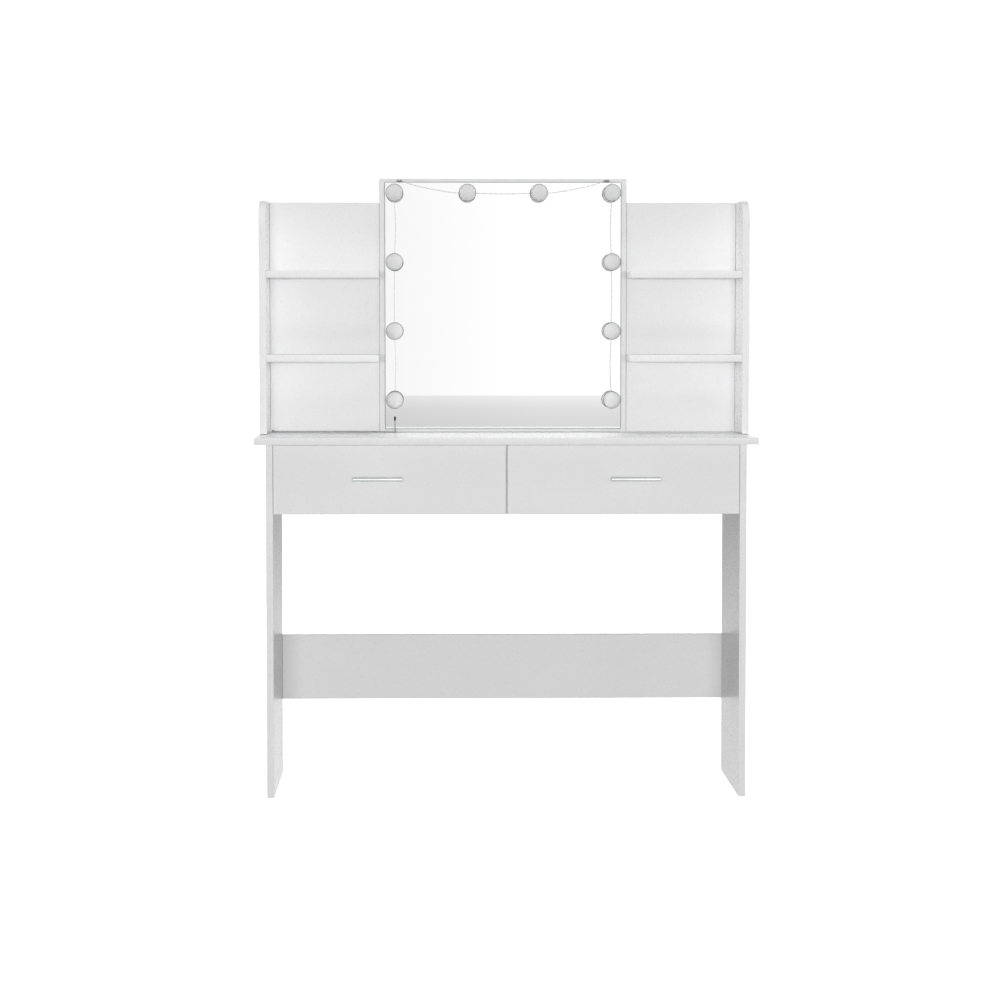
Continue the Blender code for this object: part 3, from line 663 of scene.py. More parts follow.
def add_tube(name, points, radius, material, sides=3):
    """Add a round cord as a curve of one open spline."""
    curve = bpy.data.curves.new(name, "CURVE")
    curve.dimensions = "3D"
    curve.bevel_depth = radius
    curve.bevel_resolution = sides
    curve.use_fill_caps = True
    spline = curve.splines.new("POLY")
    spline.points.add(len(points) - 1)
    for slot, point in zip(spline.points, points):
        slot.co = (*point, 1.0)
    spline.use_smooth = True
    curve.materials.append(material)
    return link_object(name, curve)


def smooth_route(points, step):
    """Return points about a step apart on a smooth curve through a route's own points."""
    route = [Vector(point) for point in points]
    route = [2 * route[0] - route[1]] + route + [2 * route[-1] - route[-2]]
    samples = []
    for a, b, c, d in zip(route, route[1:], route[2:], route[3:]):
        count = max(1, round((c - b).length / step))
        for i in range(count):
            t = i / count
            samples.append(
                0.5 * (
                    2 * b
                    + (c - a) * t
                    + (2 * a - 5 * b + 4 * c - d) * t ** 2
                    + (3 * b - a - 3 * c + d) * t ** 3
                )
            )
    return samples + [route[-2]]


def cut_mesh(mesh, low, high):
    """Return a copy of a mesh with a box cut out of it."""
    solid = link_object("uncut", mesh)
    bm = bmesh.new()
    bmesh.ops.create_cube(bm, size=1.0, matrix=box_place(low, high))
    cutter = new_object("cutter", bm, [])
    boolean = solid.modifiers.new("cut", "BOOLEAN")
    boolean.operation = "DIFFERENCE"
    boolean.object = cutter
    graph = bpy.context.evaluated_depsgraph_get()
    result = bpy.data.meshes.new_from_object(solid.evaluated_get(graph))
    for obj in (solid, cutter):
        bpy.data.objects.remove(obj, do_unlink=True)
    return result


def mesh_from(fill):
    """Return a template mesh from a function that fills a bmesh."""
    mesh = bpy.data.meshes.new("template")
    bm = bmesh.new()
    fill(bm)
    bmesh.ops.recalc_face_normals(bm, faces=bm.faces)
    bm.to_mesh(mesh)
    bm.free()
    return mesh


# ----------------------------------------------------------- camera and set

def add_camera():
    """Long lens a little left of the middle, looking slightly down and right."""
    data = bpy.data.cameras.new("camera")
    data.lens = CAMERA_LENS
    data.sensor_width = CAMERA_SENSOR
    data.clip_end = CAMERA_REACH
    camera = link_object("camera", data)
    camera.location = CAMERA_PLACE
    camera.rotation_euler = (
        math.radians(90 - CAMERA_PITCH), 0.0, -math.radians(CAMERA_YAW)
    )
    bpy.context.scene.camera = camera


def add_light(name, kind, place, target, power):
    """Add a light aimed at a point and return its data; polished pieces don't show it."""
    data = bpy.data.lights.new(name, kind)
    data.energy = power
    light = link_object(name, data)
    light.location = place
    aim = Vector(target) - Vector(place)
    light.rotation_euler = aim.to_track_quat("-Z", "Y").to_euler()
    light.visible_glossy = False
    light.visible_camera = False
    return data


def add_sun(name, place, target, power, spread):
    """Add a soft sun, spread over an angle in degrees."""
    add_light(name, "SUN", place, target, power).angle = math.radians(spread)


def broken_line(tree, value, stops):
    """Return a socket that follows straight lines through (input, output) stops."""
    (start, before), (end, after) = stops[:2]
    level = ranged(tree, value, (start, end), (before, after))
    for (start, before), (end, after) in zip(stops[1:], stops[2:]):
        step = ranged(tree, value, (start, end), (0.0, after - before))
        level = combine(tree, "ADD", level, step)
    return level


def add_world():
    """White surroundings, dimmer as light than as a backdrop.

    Polished pieces meet a studio of their own: a bright wall, a grey floor that starts just
    below the horizon, a dim ceiling, and a little less light from the left.
    """
    world = bpy.data.worlds.new("studio")
    world.use_nodes = True
    tree = world.node_tree
    tree.nodes.clear()
    direction = add_node(tree, "TexCoord").outputs["Generated"]
    along = add_node(tree, "SeparateXYZ", Vector=direction).outputs
    sideways = ranged(tree, along["X"], *zip(REFLECTED_LEFT, REFLECTED_RIGHT))
    reflected = combine(
        tree, "MULTIPLY", broken_line(tree, along["Z"], REFLECTED_SKY), sideways
    )
    ambient = ranged(
        tree, along["Z"], (-AMBIENT_BLEND, AMBIENT_BLEND), (AMBIENT_BELOW, AMBIENT_ABOVE)
    )
    ray = add_node(tree, "LightPath").outputs
    light = add_node(tree, "Mix", Factor=ray["Is Glossy Ray"], A=ambient, B=reflected)
    seen = add_node(
        tree, "Mix", Factor=ray["Is Camera Ray"], A=light.outputs["Result"], B=BACKDROP
    )
    background = add_node(
        tree, "Background", Color=(1.0, 1.0, 1.0, 1.0), Strength=seen.outputs["Result"]
    )
    add_node(tree, "OutputWorld", Surface=background.outputs["Background"])
    bpy.context.scene.world = world


def add_stage():
    """A lit white floor; it takes shadows, and throws no light on the table."""
    bm = bmesh.new()
    edge = FLOOR_REACH
    corners = ((-edge, -edge), (edge, -edge), (edge, edge), (-edge, edge))
    bm.faces.new([bm.verts.new((x, y, 0.0)) for x, y in corners])
    STUDIO_FLOOR.cycles.emission_sampling = "NONE"
    floor = new_object("studio_floor", bm, [STUDIO_FLOOR])
    floor.visible_diffuse = False
    floor.visible_glossy = False


def add_set():
    """Camera, surroundings, floor, and the front, side, top and back lights."""
    add_camera()
    add_world()
    add_stage()
    key = add_light("key_light", "AREA", KEY_PLACE, AIM, KEY_POWER)
    key.shape = "RECTANGLE"
    key.size, key.size_y = KEY_SIZE
    turn = math.radians(SIDE_TURN)
    for side, hand in SIDES:
        across, ahead = SIDE_DISTANCE * math.sin(turn), -SIDE_DISTANCE * math.cos(turn)
        add_sun(side + "_fill", (hand * across, ahead, SIDE_HEIGHT), AIM, SIDE_POWER, SIDE_SPREAD)
        place, target = Vector(HUTCH_PLACE), Vector(HUTCH_TARGET)
        place.x, target.x = hand * place.x, -hand * target.x
        beam = add_light(side + "_hutch_beam", "SPOT", place, target, HUTCH_POWER)
        beam.spot_size = math.radians(HUTCH_BEAM)
        beam.spot_blend = 1.0
        beam.shadow_soft_size = HUTCH_SOFTNESS
    add_sun("top_light", TOP_PLACE, (0.0, 0.0, 0.0), TOP_POWER, TOP_SPREAD)
    add_sun("back_light", BACK_PLACE, AIM, BACK_POWER, BACK_SPREAD)
    bpy.context.scene.view_settings.view_transform = "Standard"


# -------------------------------------------------------------------- cords

def coil_slots():
    """Return the (radius, height) of each turn in the order that the lead fills them."""
    slots = []
    for layer in range(COIL_LAYERS):
        height = DESK_REST + LEAD_RADIUS * (1 + 2 * layer)
        columns = [
            COIL_INNER + LEAD_RADIUS * (1 + 2 * column) for column in range(COIL_COLUMNS)
        ]
        if layer % 2 == 0:
            columns.reverse()
        slots += [(radius, height) for radius in columns]
    return slots


def coil_points():
    """Return the wound turns, clockwise from the coil's left and off at its rear.

    Each turn moves over to its next place in its last quarter. Where it climbs a layer it
    bulges sideways, so that it clears the turn that slips in beneath it. The last turn is
    only a quarter long.
    """
    slots = coil_slots()
    points = []
    for turn, (radius, height) in enumerate(slots + slots[-1:]):
        last = turn == len(slots)
        next_radius, next_height = slots[min(turn + 1, len(slots) - 1)]
        climbs = next_height > height
        outwards = 1 if radius > COIL_TURN_RADIUS else -1
        for step in range(COIL_POINTS_PER_TURN // 4 if last else COIL_POINTS_PER_TURN):
            part = step / COIL_POINTS_PER_TURN
            move = max(0.0, 4 * part - 3)
            move = move * move * (3 - 2 * move)
            r = radius + (next_radius - radius) * move
            if climbs:
                r += outwards * COIL_BULGE * math.sin(math.pi * move)
            z = height + (next_height - height) * move
            angle = math.pi - math.tau * part
            points.append(
                (COIL_MIDDLE.x + r * math.cos(angle), COIL_MIDDLE.y + r * math.sin(angle), z)
            )
    return points


def lead_route():
    """Return the lead's route from its connector to the mouth of the coil.

    It drops in front of the glass, lies on the desktop, follows the foot of the mirror board
    and of the left back panel, and goes through the notch to the strip behind.
    """
    x = -BULB_COLUMN
    base = BACK_LOW.y - LEAD_RADIUS - 2 * GAP
    turn = LEAD_LANE + LEAD_BEND
    return [
        (x, WIRE_Y, CONNECTOR_LOW.z - GAP),
        (x, WIRE_Y, 0.7960),
        (x + 0.0005, WIRE_Y - 0.0030, 0.7860),
        (x + 0.0010, WIRE_Y - 0.0110, LEAD_Z + 0.0012),
        (x - 0.0010, WIRE_Y - 0.0200, LEAD_Z),
        (x - 0.0100, WIRE_Y - 0.0240, LEAD_Z),
        (x - 0.0230, WIRE_Y - 0.0170, LEAD_Z),
        (x - 0.0380, WIRE_Y - 0.0040, LEAD_Z),
        (x - 0.0580, base - 0.0010, LEAD_Z),
        (-0.345, base - 0.0002, LEAD_Z),
        (-0.395, base - 0.0012, LEAD_Z),
        (-0.445, base - 0.0002, LEAD_Z),
        (-0.490, base - 0.0004, LEAD_Z),
        (turn, base, LEAD_Z),
        (turn - 0.7 * LEAD_BEND, base + 0.3 * LEAD_BEND, LEAD_Z),
        (LEAD_LANE, base + LEAD_BEND, LEAD_Z),
        (LEAD_LANE, BACK_HIGH.y, LEAD_Z),
        (LEAD_LANE, COIL_MIDDLE.y - COIL_MOUTH, LEAD_Z),
    ]


def tail_route():
    """Return the lead's route from the coil's top turn down to the plug."""
    top = COIL_HIGH.z - LEAD_RADIUS
    x, z = COIL_MIDDLE.x, PLUG_MIDDLE.z
    end = PLUG_LOW.x - GAP
    return [
        (x, TAIL_LANE, top),
        (x + COIL_MOUTH, TAIL_LANE, top),
        (x + 0.0180, TAIL_LANE - 0.0012, top - 0.0016),
        (x + 0.0290, TAIL_LANE - 0.0052, z + 0.0020),
        (PLUG_LOW.x - 0.0050, TAIL_LANE - 0.0072, z),
        (end, TAIL_LANE - 0.0072, z),
    ]


def add_lead():
    """The lead from its connector to its plug, its spare length wound up and strapped."""
    points = smooth_route(lead_route(), LEAD_STEP)
    points += [Vector(point) for point in coil_points()]
    points += smooth_route(tail_route(), LEAD_STEP)
    lead = add_tube("light_lead_cord", points, LEAD_RADIUS, LEAD_SKIN)
    place_piece(lead, "carcass", "lead", "light_lead", "light_lead_coil", "light_lead_tail")
    plug = add_plug()
    tie = add_strap()


def fill_plug_grip(bm, start, end):
    """Fill a bmesh with the plug's grip, its side ridges and its ringed relief."""
    low, high = PLUG_LOW, PLUG_HIGH
    add_block(bm, (start, low.y, low.z), (end, high.y, high.z), PLUG_ROUND, 0, 4)
    rise, margin = PLUG_RIDGE_RISE, PLUG_RIDGE_MARGIN
    for y in (low.y, high.y):
        for i in range(PLUG_RIDGES):
            x = start + PLUG_RIDGE_INSET + i * PLUG_RIDGE_PITCH
            near = (x, y - rise, low.z + margin)
            far = (x + PLUG_RIDGE_WIDTH, y + rise, high.z - margin)
            add_block(bm, near, far, 0.8 * rise, 0, 1)
    inner = LEAD_RADIUS + GAP
    rings = [(0.0, 0.0), (inner, 0.0)]
    for i in range(PLUG_RIDGES):
        r = inner + i * 0.0002
        z = i * PLUG_RELIEF / PLUG_RIDGES
        rings += [(r + 0.0002, z + 0.0003), (r + 0.0002, z + 0.0012), (r, z + 0.0014)]
    rings += [(LEAD_RADIUS + 0.0012, PLUG_RELIEF + 0.0005), (0.0, PLUG_RELIEF + 0.0005)]
    add_lathe(bm, rings, SMALL_TURN, facing((low.x, PLUG_MIDDLE.y, PLUG_MIDDLE.z), (1, 0, 0)))


def fill_plug_shell(bm, start):
    """Fill a bmesh with the plug's hollow shell, and the tongue in it."""
    _, y, z = PLUG_MIDDLE
    end = PLUG_HIGH.x
    wide, tall, wall = SHELL_HALF_WIDTH, SHELL_HALF_HEIGHT, SHELL_WALL
    for near, far in ((tall - wall, tall), (-tall, wall - tall)):
        add_block(bm, (start, y - wide, z + near), (end, y + wide, z + far), SHELL_EASE, 1, 1)
    for near, far in ((wide - wall, wide), (-wide, wall - wide)):
        low, high = (start, y + near, z - tall + wall), (end, y + far, z + tall - wall)
        add_block(bm, low, high, SHELL_EASE, 1, 1)
    near = (start, y - wide + wall, z)
    far = (end - SHELL_SUNK, y + wide - wall, z + TONGUE_THICKNESS)
    add_block(bm, near, far, wall / 2, 2, 1)


def add_plug():
    """A moulded grip with side ridges, a ringed relief and a hollow plated shell."""
    grip_start = PLUG_LOW.x + PLUG_RELIEF
    grip_end = grip_start + PLUG_GRIP
    bm = bmesh.new()
    fill_plug_grip(bm, grip_start, grip_end)
    fill_plug_shell(bm, grip_end - SHELL_SUNK)
    return add_piece("lead_plug_moulded", bm, [PLUG_SKIN, ZINC, CONTACT_WHITE], "plug", "lead_plug")


def add_strap():
    """A thin strap wrapped round the coil's section, its end lapped over."""
    inner, outer = COIL_INNER - STRAP_SLACK, COIL_OUTER + STRAP_SLACK
    low, high = DESK_REST - STRAP_SLACK, COIL_HIGH.z + STRAP_SLACK
    corners = [(inner, low), (outer, low), (outer, high), (inner, high)]
    inside = round_corners(corners, [STRAP_ROUND] * 4, 5)
    outside = [p - s * STRAP_THICKNESS for p, s in zip(inside, inward_steps(inside))]
    half = STRAP_HALF
    turn = Matrix.Rotation(math.radians(STRAP_TURN), 4, "Z")
    turn.translation = (COIL_MIDDLE.x, COIL_MIDDLE.y, 0)
    bm = bmesh.new()
    rings = []
    for loop, side in ((inside, -half), (outside, -half), (outside, half), (inside, half)):
        rings.append([bm.verts.new((r, side, z)) for r, z in loop])
    join_rings(bm, rings + rings[:1])
    lap_half, lap_floor = half - STRAP_LAP_MARGIN, high + STRAP_SLACK
    lap_low = (inner + STRAP_LAP_ENDS[0], -lap_half, lap_floor)
    lap_high = (outer - STRAP_LAP_ENDS[1], lap_half, lap_floor + STRAP_LAP)
    add_block(bm, lap_low, lap_high, STRAP_LAP_EASE, 0, 1)
    bmesh.ops.transform(bm, matrix=turn, verts=bm.verts)
    return add_piece("lead_strap", bm, [STRAP], "lead")


def wire_route():
    """Return the light string's (x, z) route, bulb to bulb, from its lead to its last bulb."""
    through = BULB_BASE_RADIUS
    left = [(-BULB_COLUMN, CONNECTOR_HIGH.z + GAP)]
    for row in reversed(range(BULB_ROWS)):
        z = BULB_TOP_ROW - BULB_PITCH * row
        bow = WIRE_BOW * (1 if row % 2 else -0.6)
        left += [(-BULB_COLUMN, z - through), (-BULB_COLUMN, z + through)]
        if row:
            left += [(-BULB_COLUMN + bow, z + BULB_PITCH / 2)]
    over_left = [
        (-BULB_COLUMN + 0.0004, CLIP_Z - 0.0065),
        (-CLIP_X - 0.0083, CLIP_Z - 0.0018),
        (-CLIP_X - 0.0058, CLIP_Z),
        (-CLIP_X + 0.0058, CLIP_Z),
        (-CLIP_X + 0.0105, CLIP_Z - 0.0014),
        (-0.212, 1.3335),
        (-0.180, 1.3252),
        (-0.131, 1.3160),
        (-BULB_MIDDLE - through, BULB_TOP_ROW),
        (-BULB_MIDDLE + through, BULB_TOP_ROW),
    ]
    middle = [(0.0, BULB_TOP_ROW - 0.0014)]
    over_right = [(-x, z) for x, z in reversed(over_left)]
    right = [(-x, z) for x, z in reversed(left)]
    last_bulb = (BULB_COLUMN, right[-2][1])
    return left + over_left + middle + over_right + right[:-2] + [last_bulb]


def add_wire():
    """Two insulated strands twisted round each other along the light string's route."""
    centre = smooth_route([(x, WIRE_Y, z) for x, z in wire_route()], WIRE_STEP)
    strand = WIRE_RADIUS / 2
    backwards = Vector(BACKWARDS)
    for name, phase in (("light_wire_strand_a", 0.0), ("light_wire_strand_b", math.pi)):
        points = []
        travelled = 0.0
        for i, here in enumerate(centre):
            ahead = centre[min(i + 1, len(centre) - 1)]
            behind = centre[max(i - 1, 0)]
            across = (ahead - behind).normalized().cross(backwards)
            angle = math.tau * travelled / WIRE_TWIST + phase
            points.append(here + (across * math.cos(angle) + backwards * math.sin(angle)) * strand)
            travelled += (ahead - here).length
        wire = add_tube(name, points, strand, WIRE_SKIN, 2)
        place_piece(wire, "carcass", "wire", "light_wire")


# ------------------------------------------------------------------- boards

def rectangle(low, high, u, v):
    """Return the anticlockwise corners of a box seen along its third axis."""
    return [(low[u], low[v]), (high[u], low[v]), (high[u], high[v]), (low[u], high[v])]


def add_board(node, slot="board", corners=None, radii=None, steps=4, materials=None):
    """Rebuild a board's CAD node as a banded slab; corners replace its plain rectangle."""
    low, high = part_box(node)
    size = high - low
    t = min(range(3), key=lambda axis: size[axis])
    u, v = [axis for axis in range(3) if axis != t]
    corners = corners or rectangle(low, high, u, v)
    outline = round_corners(corners, radii or [CORNER_ROUND] * len(corners), steps)
    bm = bmesh.new()
    add_slab(bm, outline, low[t], high[t], (u, v, t))
    add_piece(node + "_board", bm, materials or [MELAMINE, EDGE_BAND], slot, node)


def add_hutch_side(node):
    """Rebuild a hutch side: a round top front corner, and a thin shadow gap at its foot."""
    low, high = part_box(node)
    foot = Vector((low.x, low.y, DESK_HIGH.z + FOOT_GAP))
    radii = [CORNER_ROUND] * 3 + [SIDE_CORNER_RADIUS]
    add_board(node, corners=rectangle(foot, high, Y, Z), radii=radii, steps=12)


def add_notched_panel():
    """Rebuild the left back panel, with the lead's notch at its lower outer corner."""
    low, high = BACK_LOW, BACK_HIGH
    edge = NOTCH_WIDTH - HUTCH_INNER
    top = DESK_HIGH.z + NOTCH_HEIGHT
    corners = [
        (edge, low.z), (high.x, low.z), (high.x, high.z), (low.x, high.z), (low.x, top), (edge, top)
    ]
    add_board("left_back_panel", corners=corners)


def add_boards():
    """All the carcass and hutch boards."""
    for node in (
        "desktop", "left_leg_panel", "right_leg_panel", "drawer_divider", "rear_rail",
        "lower_stretcher", "right_back_panel", "left_lower_shelf", "left_upper_shelf",
        "right_lower_shelf", "right_upper_shelf", "mirror_board",
    ):
        add_board(node)
    for side, _ in SIDES:
        add_hutch_side(side + "_hutch_side")
    add_notched_panel()


# ------------------------------------------------------------------- mirror

def add_mirror():
    """Silvered glass with a ground and eased edge."""
    bm = bmesh.new()
    add_block(bm, GLASS_LOW, GLASS_HIGH, GLASS_ARRIS, 1, 2)
    for face in bm.faces:
        if face.normal.y < -0.99:
            face.material_index = 0
        elif face.normal.y > 0.99:
            face.material_index = 2
    glass = new_object("mirror_pane", bm, [SILVER, GLASS_EDGE, MIRROR_BACK], GLASS_SMOOTHING)
    place_piece(glass, "carcass", "mirror_glass", "mirror_glass")


# -------------------------------------------------------------------- bulbs

def base_profile():
    """Return a bulb base's profile, from the glass outwards."""
    r = BULB_BASE_RADIUS
    return [
        (0, 0.0011), (r - 0.0008, 0.0011), (r - 0.0002, 0.0014), (r, 0.0022), (r, 0.0030),
        (r - 0.0001, 0.0034), (r - 0.0001, 0.0110), (r, 0.0114), (r, 0.0122),
        (r - 0.0004, 0.0130), (r - 0.0020, 0.0138), (0, 0.0138),
    ]


def globe_profile():
    """Return the frosted globe's profile, from its neck to its nose."""
    r, depth = BULB_RADIUS, BULB_DEPTH
    knots = [
        (BULB_BASE_RADIUS - 0.0013, 0.0134), (BULB_BASE_RADIUS - 0.0002, 0.0144),
        (0.87 * r, depth - 0.0330), (0.938 * r, depth - 0.0250),
        (0.943 * r, depth - 0.0160), (0.90 * r, depth - 0.0090), (0.73 * r, depth - 0.0040),
        (0.40 * r, depth - 0.0008), (0, depth),
    ]
    curve = smooth_route([(radius, 0, height) for radius, height in knots], 0.0012)
    profile = [(max(0.0, p.x), min(p.z, depth)) for p in curve]
    return [(0, profile[0][1])] + profile[:-1] + [(0, depth)]


def painted_rim_profile():
    """Return the profile of the dark ring at the globe's widest place, painted shade for the globe's
    outline.
    """
    r, back = BULB_RADIUS, BULB_DEPTH - RIM_PLACE
    front = back + RIM_WIDTH
    return [
        (0, back), (0.90 * r, back), (r - 0.0004, back), (r, back + 0.0004), (r, front - 0.0004),
        (r - 0.0004, front), (0.945 * r, front), (0, front),
    ]


def bulb_base_template(along_x):
    """Return the mesh of a ribbed base and foam pad, a channel across them for the wire."""

    def fill(bm):
        place = Matrix.Identity(4)
        pad = [(0, 0), (0.0135, 0), (0.0138, 0.0002), (0.0138, 0.0010), (0, 0.0010)]
        add_lathe(bm, pad, RIBBED_TURN // 2, place, 2)
        add_lathe(bm, base_profile(), RIBBED_TURN, place, 1, ribs=BULB_BASE_RIBS)

    across = Vector((BULB_RADIUS, CHANNEL_WIDTH / 2, 0))
    if not along_x:
        across = across.yxz
    low, high = Vector((0, 0, -0.001)) - across, Vector((0, 0, CHANNEL_DEPTH)) + across
    return cut_mesh(mesh_from(fill), low, high)


def add_bulbs():
    """Ten bulbs stuck round the mirror, the channel of each base along the wire."""
    templates = {along_x: bulb_base_template(along_x) for along_x in (False, True)}
    for node, (x, z) in zip(BULB_NODES, BULB_STATIONS):
        place = Matrix.Translation((x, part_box(node)[1].y, z)) @ Matrix.Rotation(math.pi / 2, 4, "X")
        bm = bmesh.new()
        stamp(bm, templates[abs(x) < BULB_COLUMN - BULB_RADIUS / 2], place)
        add_lathe(bm, globe_profile(), BULB_TURN, place, 0)
        # The dark ring is painted shade for the globe's outline
        add_lathe(bm, painted_rim_profile(), BULB_TURN, place, 3)
        add_piece(node + "_globe", bm, [FROSTED, BULB_BASE, FOAM, RIM_SHADE], "bulb", node)


def add_wire_clips():
    """Two small stick-on clips above the glass, open to the front, that hold the wire up."""
    for side, _ in SIDES:
        node = side + "_wire_clip"
        low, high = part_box(node)
        z = (low.z + high.z) / 2
        slot = CLIP_SLOT / 2
        floor = WIRE_Y + slot
        ease = CLIP_EASE
        corners = [
            (low.y + ease, low.z), (high.y, low.z), (high.y, high.z), (low.y + ease, high.z),
            (low.y, high.z - ease), (low.y, z + slot + ease), (low.y + ease, z + slot),
            (floor - ease, z + slot), (floor, z + slot - ease), (floor, z - slot + ease),
            (floor - ease, z - slot), (low.y + ease, z - slot), (low.y, z - slot - ease),
            (low.y, low.z + ease),
        ]
        bm = bmesh.new()
        ends = add_prism(bm, [Vector(c) for c in corners], low.x, high.x, (Y, Z, X))
        ease_rims(bm, ends, ease / 2)
        add_piece(node + "_moulded", bm, [CLIP_SKIN], "clip", node)


def add_connector():
    """The sleeve that joins the lead to the light string, pinched at both ends."""
    low, high = CONNECTOR_LOW, CONNECTOR_HIGH
    length = high.z - low.z
    r = (high.x - low.x) / 2
    profile = [
        (0, 0), (0.52 * r, 0), (0.62 * r, 0.0004), (0.72 * r, 0.0011), (0.98 * r, 0.0018),
        (r, 0.0024), (r, 0.0040), (0.93 * r, 0.0043), (0.93 * r, 0.0049), (r, 0.0052),
        (r, length - 0.0022), (0.98 * r, length - 0.0017), (0.72 * r, length - 0.0011),
        (0.62 * r, length - 0.0004), (0.52 * r, length), (0, length),
    ]
    middle = middle_of("lead_connector")
    bm = bmesh.new()
    add_lathe(bm, profile, SLIM_TURN, Matrix.Translation((middle.x, middle.y, low.z)))
    add_piece("lead_connector_sleeve", bm, [CONNECTOR_SKIN], "connector", "lead_connector")


# ----------------------------------------------------------------- fittings

def fill_screw(bm):
    """Fill a bmesh with a cross-recessed screw head, its top along +Z."""
    r, h, count = SCREW_RADIUS, SCREW_HEIGHT, SMALL_TURN
    turns = [math.tau * i / count for i in range(count)]
    rings = [
        [bm.verts.new((radius * math.cos(turn), radius * math.sin(turn), z)) for turn in turns]
        for radius, z in ((r, -0.0002), (r, 0.25 * h), (0.93 * r, 0.70 * h), (0.78 * r, h))
    ]
    bm.faces.new(rings[0])
    join_rings(bm, rings)
    w, a = 0.13 * r, 0.52 * r
    cross = [(w, a), (-w, a), (-w, w), (-a, w), (-a, -w), (-w, -w),
             (-w, -a), (w, -a), (w, -w), (a, -w), (a, w), (w, w)]
    top = [bm.verts.new((x, y, h)) for x, y in cross]
    floor = [bm.verts.new((0.8 * x, 0.8 * y, 0.25 * h)) for x, y in cross]
    edges = [bm.edges.get((rings[-1][i - 1], rings[-1][i])) for i in range(count)]
    edges += [bm.edges.new((top[i - 1], top[i])) for i in range(len(cross))]
    bmesh.ops.triangle_fill(bm, use_beauty=True, edges=edges, normal=(0, 0, 1))
    join_rings(bm, [top, floor])
    bm.faces.new(floor)


def fill_cam_cap(bm):
    """Fill a bmesh with a thin push-in cover cap, slightly crowned."""
    r = CAM_RADIUS
    profile = [
        (0, -0.0002), (r, -0.0002), (r, 0.0003), (0.96 * r, 0.0007), (0.86 * r, 0.0009),
        (0.5 * r, 0.0010), (0, 0.00105),
    ]
    add_lathe(bm, profile, USUAL_TURN, Matrix.Identity(4))


SCREW = mesh_from(fill_screw)
CAM_CAP = mesh_from(fill_cam_cap)


def add_screws(name, body, spots):
    """Add a group of screw heads at (place, direction) spots, their slots turned at will."""
    bm = bmesh.new()
    for i, (place, direction) in enumerate(spots):
        stamp(bm, SCREW, facing(place, direction, SCREW_SPIN * i))
    add_piece(name, bm, [ZINC], "plate", body=body)


def add_caps(name, body, spots):
    """Add a group of white cam covers at (place, direction) spots."""
    bm = bmesh.new()
    for place, direction in spots:
        stamp(bm, CAM_CAP, facing(place, direction))
    add_piece(name, bm, [CAP_PLASTIC], "glide", body=body)


def add_joining_plates():
    """Zinc plates that tie the mirror board to the back panels, four screws each."""
    spots = []
    for side, _ in SIDES:
        node = side + "_joining_plate"
        low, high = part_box(node)
        outline = round_corners(rectangle(low, high, X, Z), [PLATE_CORNER] * 4)
        bm = bmesh.new()
        ease_rims(bm, add_prism(bm, outline, low.y, high.y, (X, Z, Y)), PLATE_EASE)
        add_piece(node + "_pressed", bm, [ZINC], "plate", node)
        near, far = PLATE_SCREW_INSETS
        for x in (low.x + near, low.x + far, high.x - far, high.x - near):
            spots.append(((x, high.y, middle_of(node).z), BACKWARDS))
    add_screws("joining_plate_screws", "carcass", spots)


def add_carcass_fittings():
    """Cam covers on hidden faces and the screws that hold the hutch."""
    caps = []
    for node in ("rear_rail", "lower_stretcher"):
        low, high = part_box(node)
        for x in (low.x + CAM_INSET, high.x - CAM_INSET):
            for z in (low.z + RAIL_CAM_INSET, high.z - RAIL_CAM_INSET):
                caps.append(((x, high.y, z), BACKWARDS))
    screws = []
    for side, hand in SIDES:
        panel = middle_of(side + "_back_panel")
        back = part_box(side + "_back_panel")[1].y
        for level in ("lower", "upper"):
            low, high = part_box("{}_{}_shelf".format(side, level))
            for y in (low.y + SCREW_INSET, high.y - SCREW_INSET):
                caps.append(((hand * (HUTCH_INNER - CAM_INSET), y, low.z), DOWN))
            for x in SHELF_SCREWS:
                screws.append(((hand * x, back, (low.z + high.z) / 2), BACKWARDS))
        low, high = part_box(side + "_hutch_side")
        for y in (low.y + SCREW_INSET, high.y - SIDE_SCREW_INSET):
            screws.append((((low.x + high.x) / 2, y, DESK_LOW.z), DOWN))
        for x in PANEL_SCREWS:
            screws.append(((hand * x, panel.y, DESK_LOW.z), DOWN))
    for x in MIRROR_SCREWS:
        screws.append(((x, (BACK_LOW.y + BACK_HIGH.y) / 2, DESK_LOW.z), DOWN))
    add_caps("carcass_cam_caps", "carcass", caps)
    add_screws("hutch_screws", "carcass", screws)


def add_glides():
    """Nail-on floor glides with an eased rim and the nail head sunk in the middle."""
    for side, _ in SIDES:
        for end in ("front", "rear"):
            node = "{}_{}_glide".format(side, end)
            low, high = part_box(node)
            middle = middle_of(node)
            r, h = (high.x - low.x) / 2, high.z - low.z
            profile = [
                (0, h), (r - 0.0004, h), (r, h - 0.0004), (r, 0.0009), (r - 0.0003, 0.0003),
                (r - 0.0009, 0), (0.0028, 0), (0.0026, 0.0002), (0.0024, 0.0008),
                (0.0020, 0.0008), (0.0018, 0.0005), (0, 0.0004),
            ]
            bm = bmesh.new()
            add_lathe(bm, profile, USUAL_TURN, Matrix.Translation((middle.x, middle.y, low.z)))
            add_piece(node + "_disc", bm, [NYLON], "glide", node)


# ------------------------------------------------------------------ drawers

def post_places(side):
    """Return the x of each of a handle's two posts."""
    middle = middle_of(side + "_drawer_handle").x
    return (middle - POST_SPACING / 2, middle + POST_SPACING / 2)


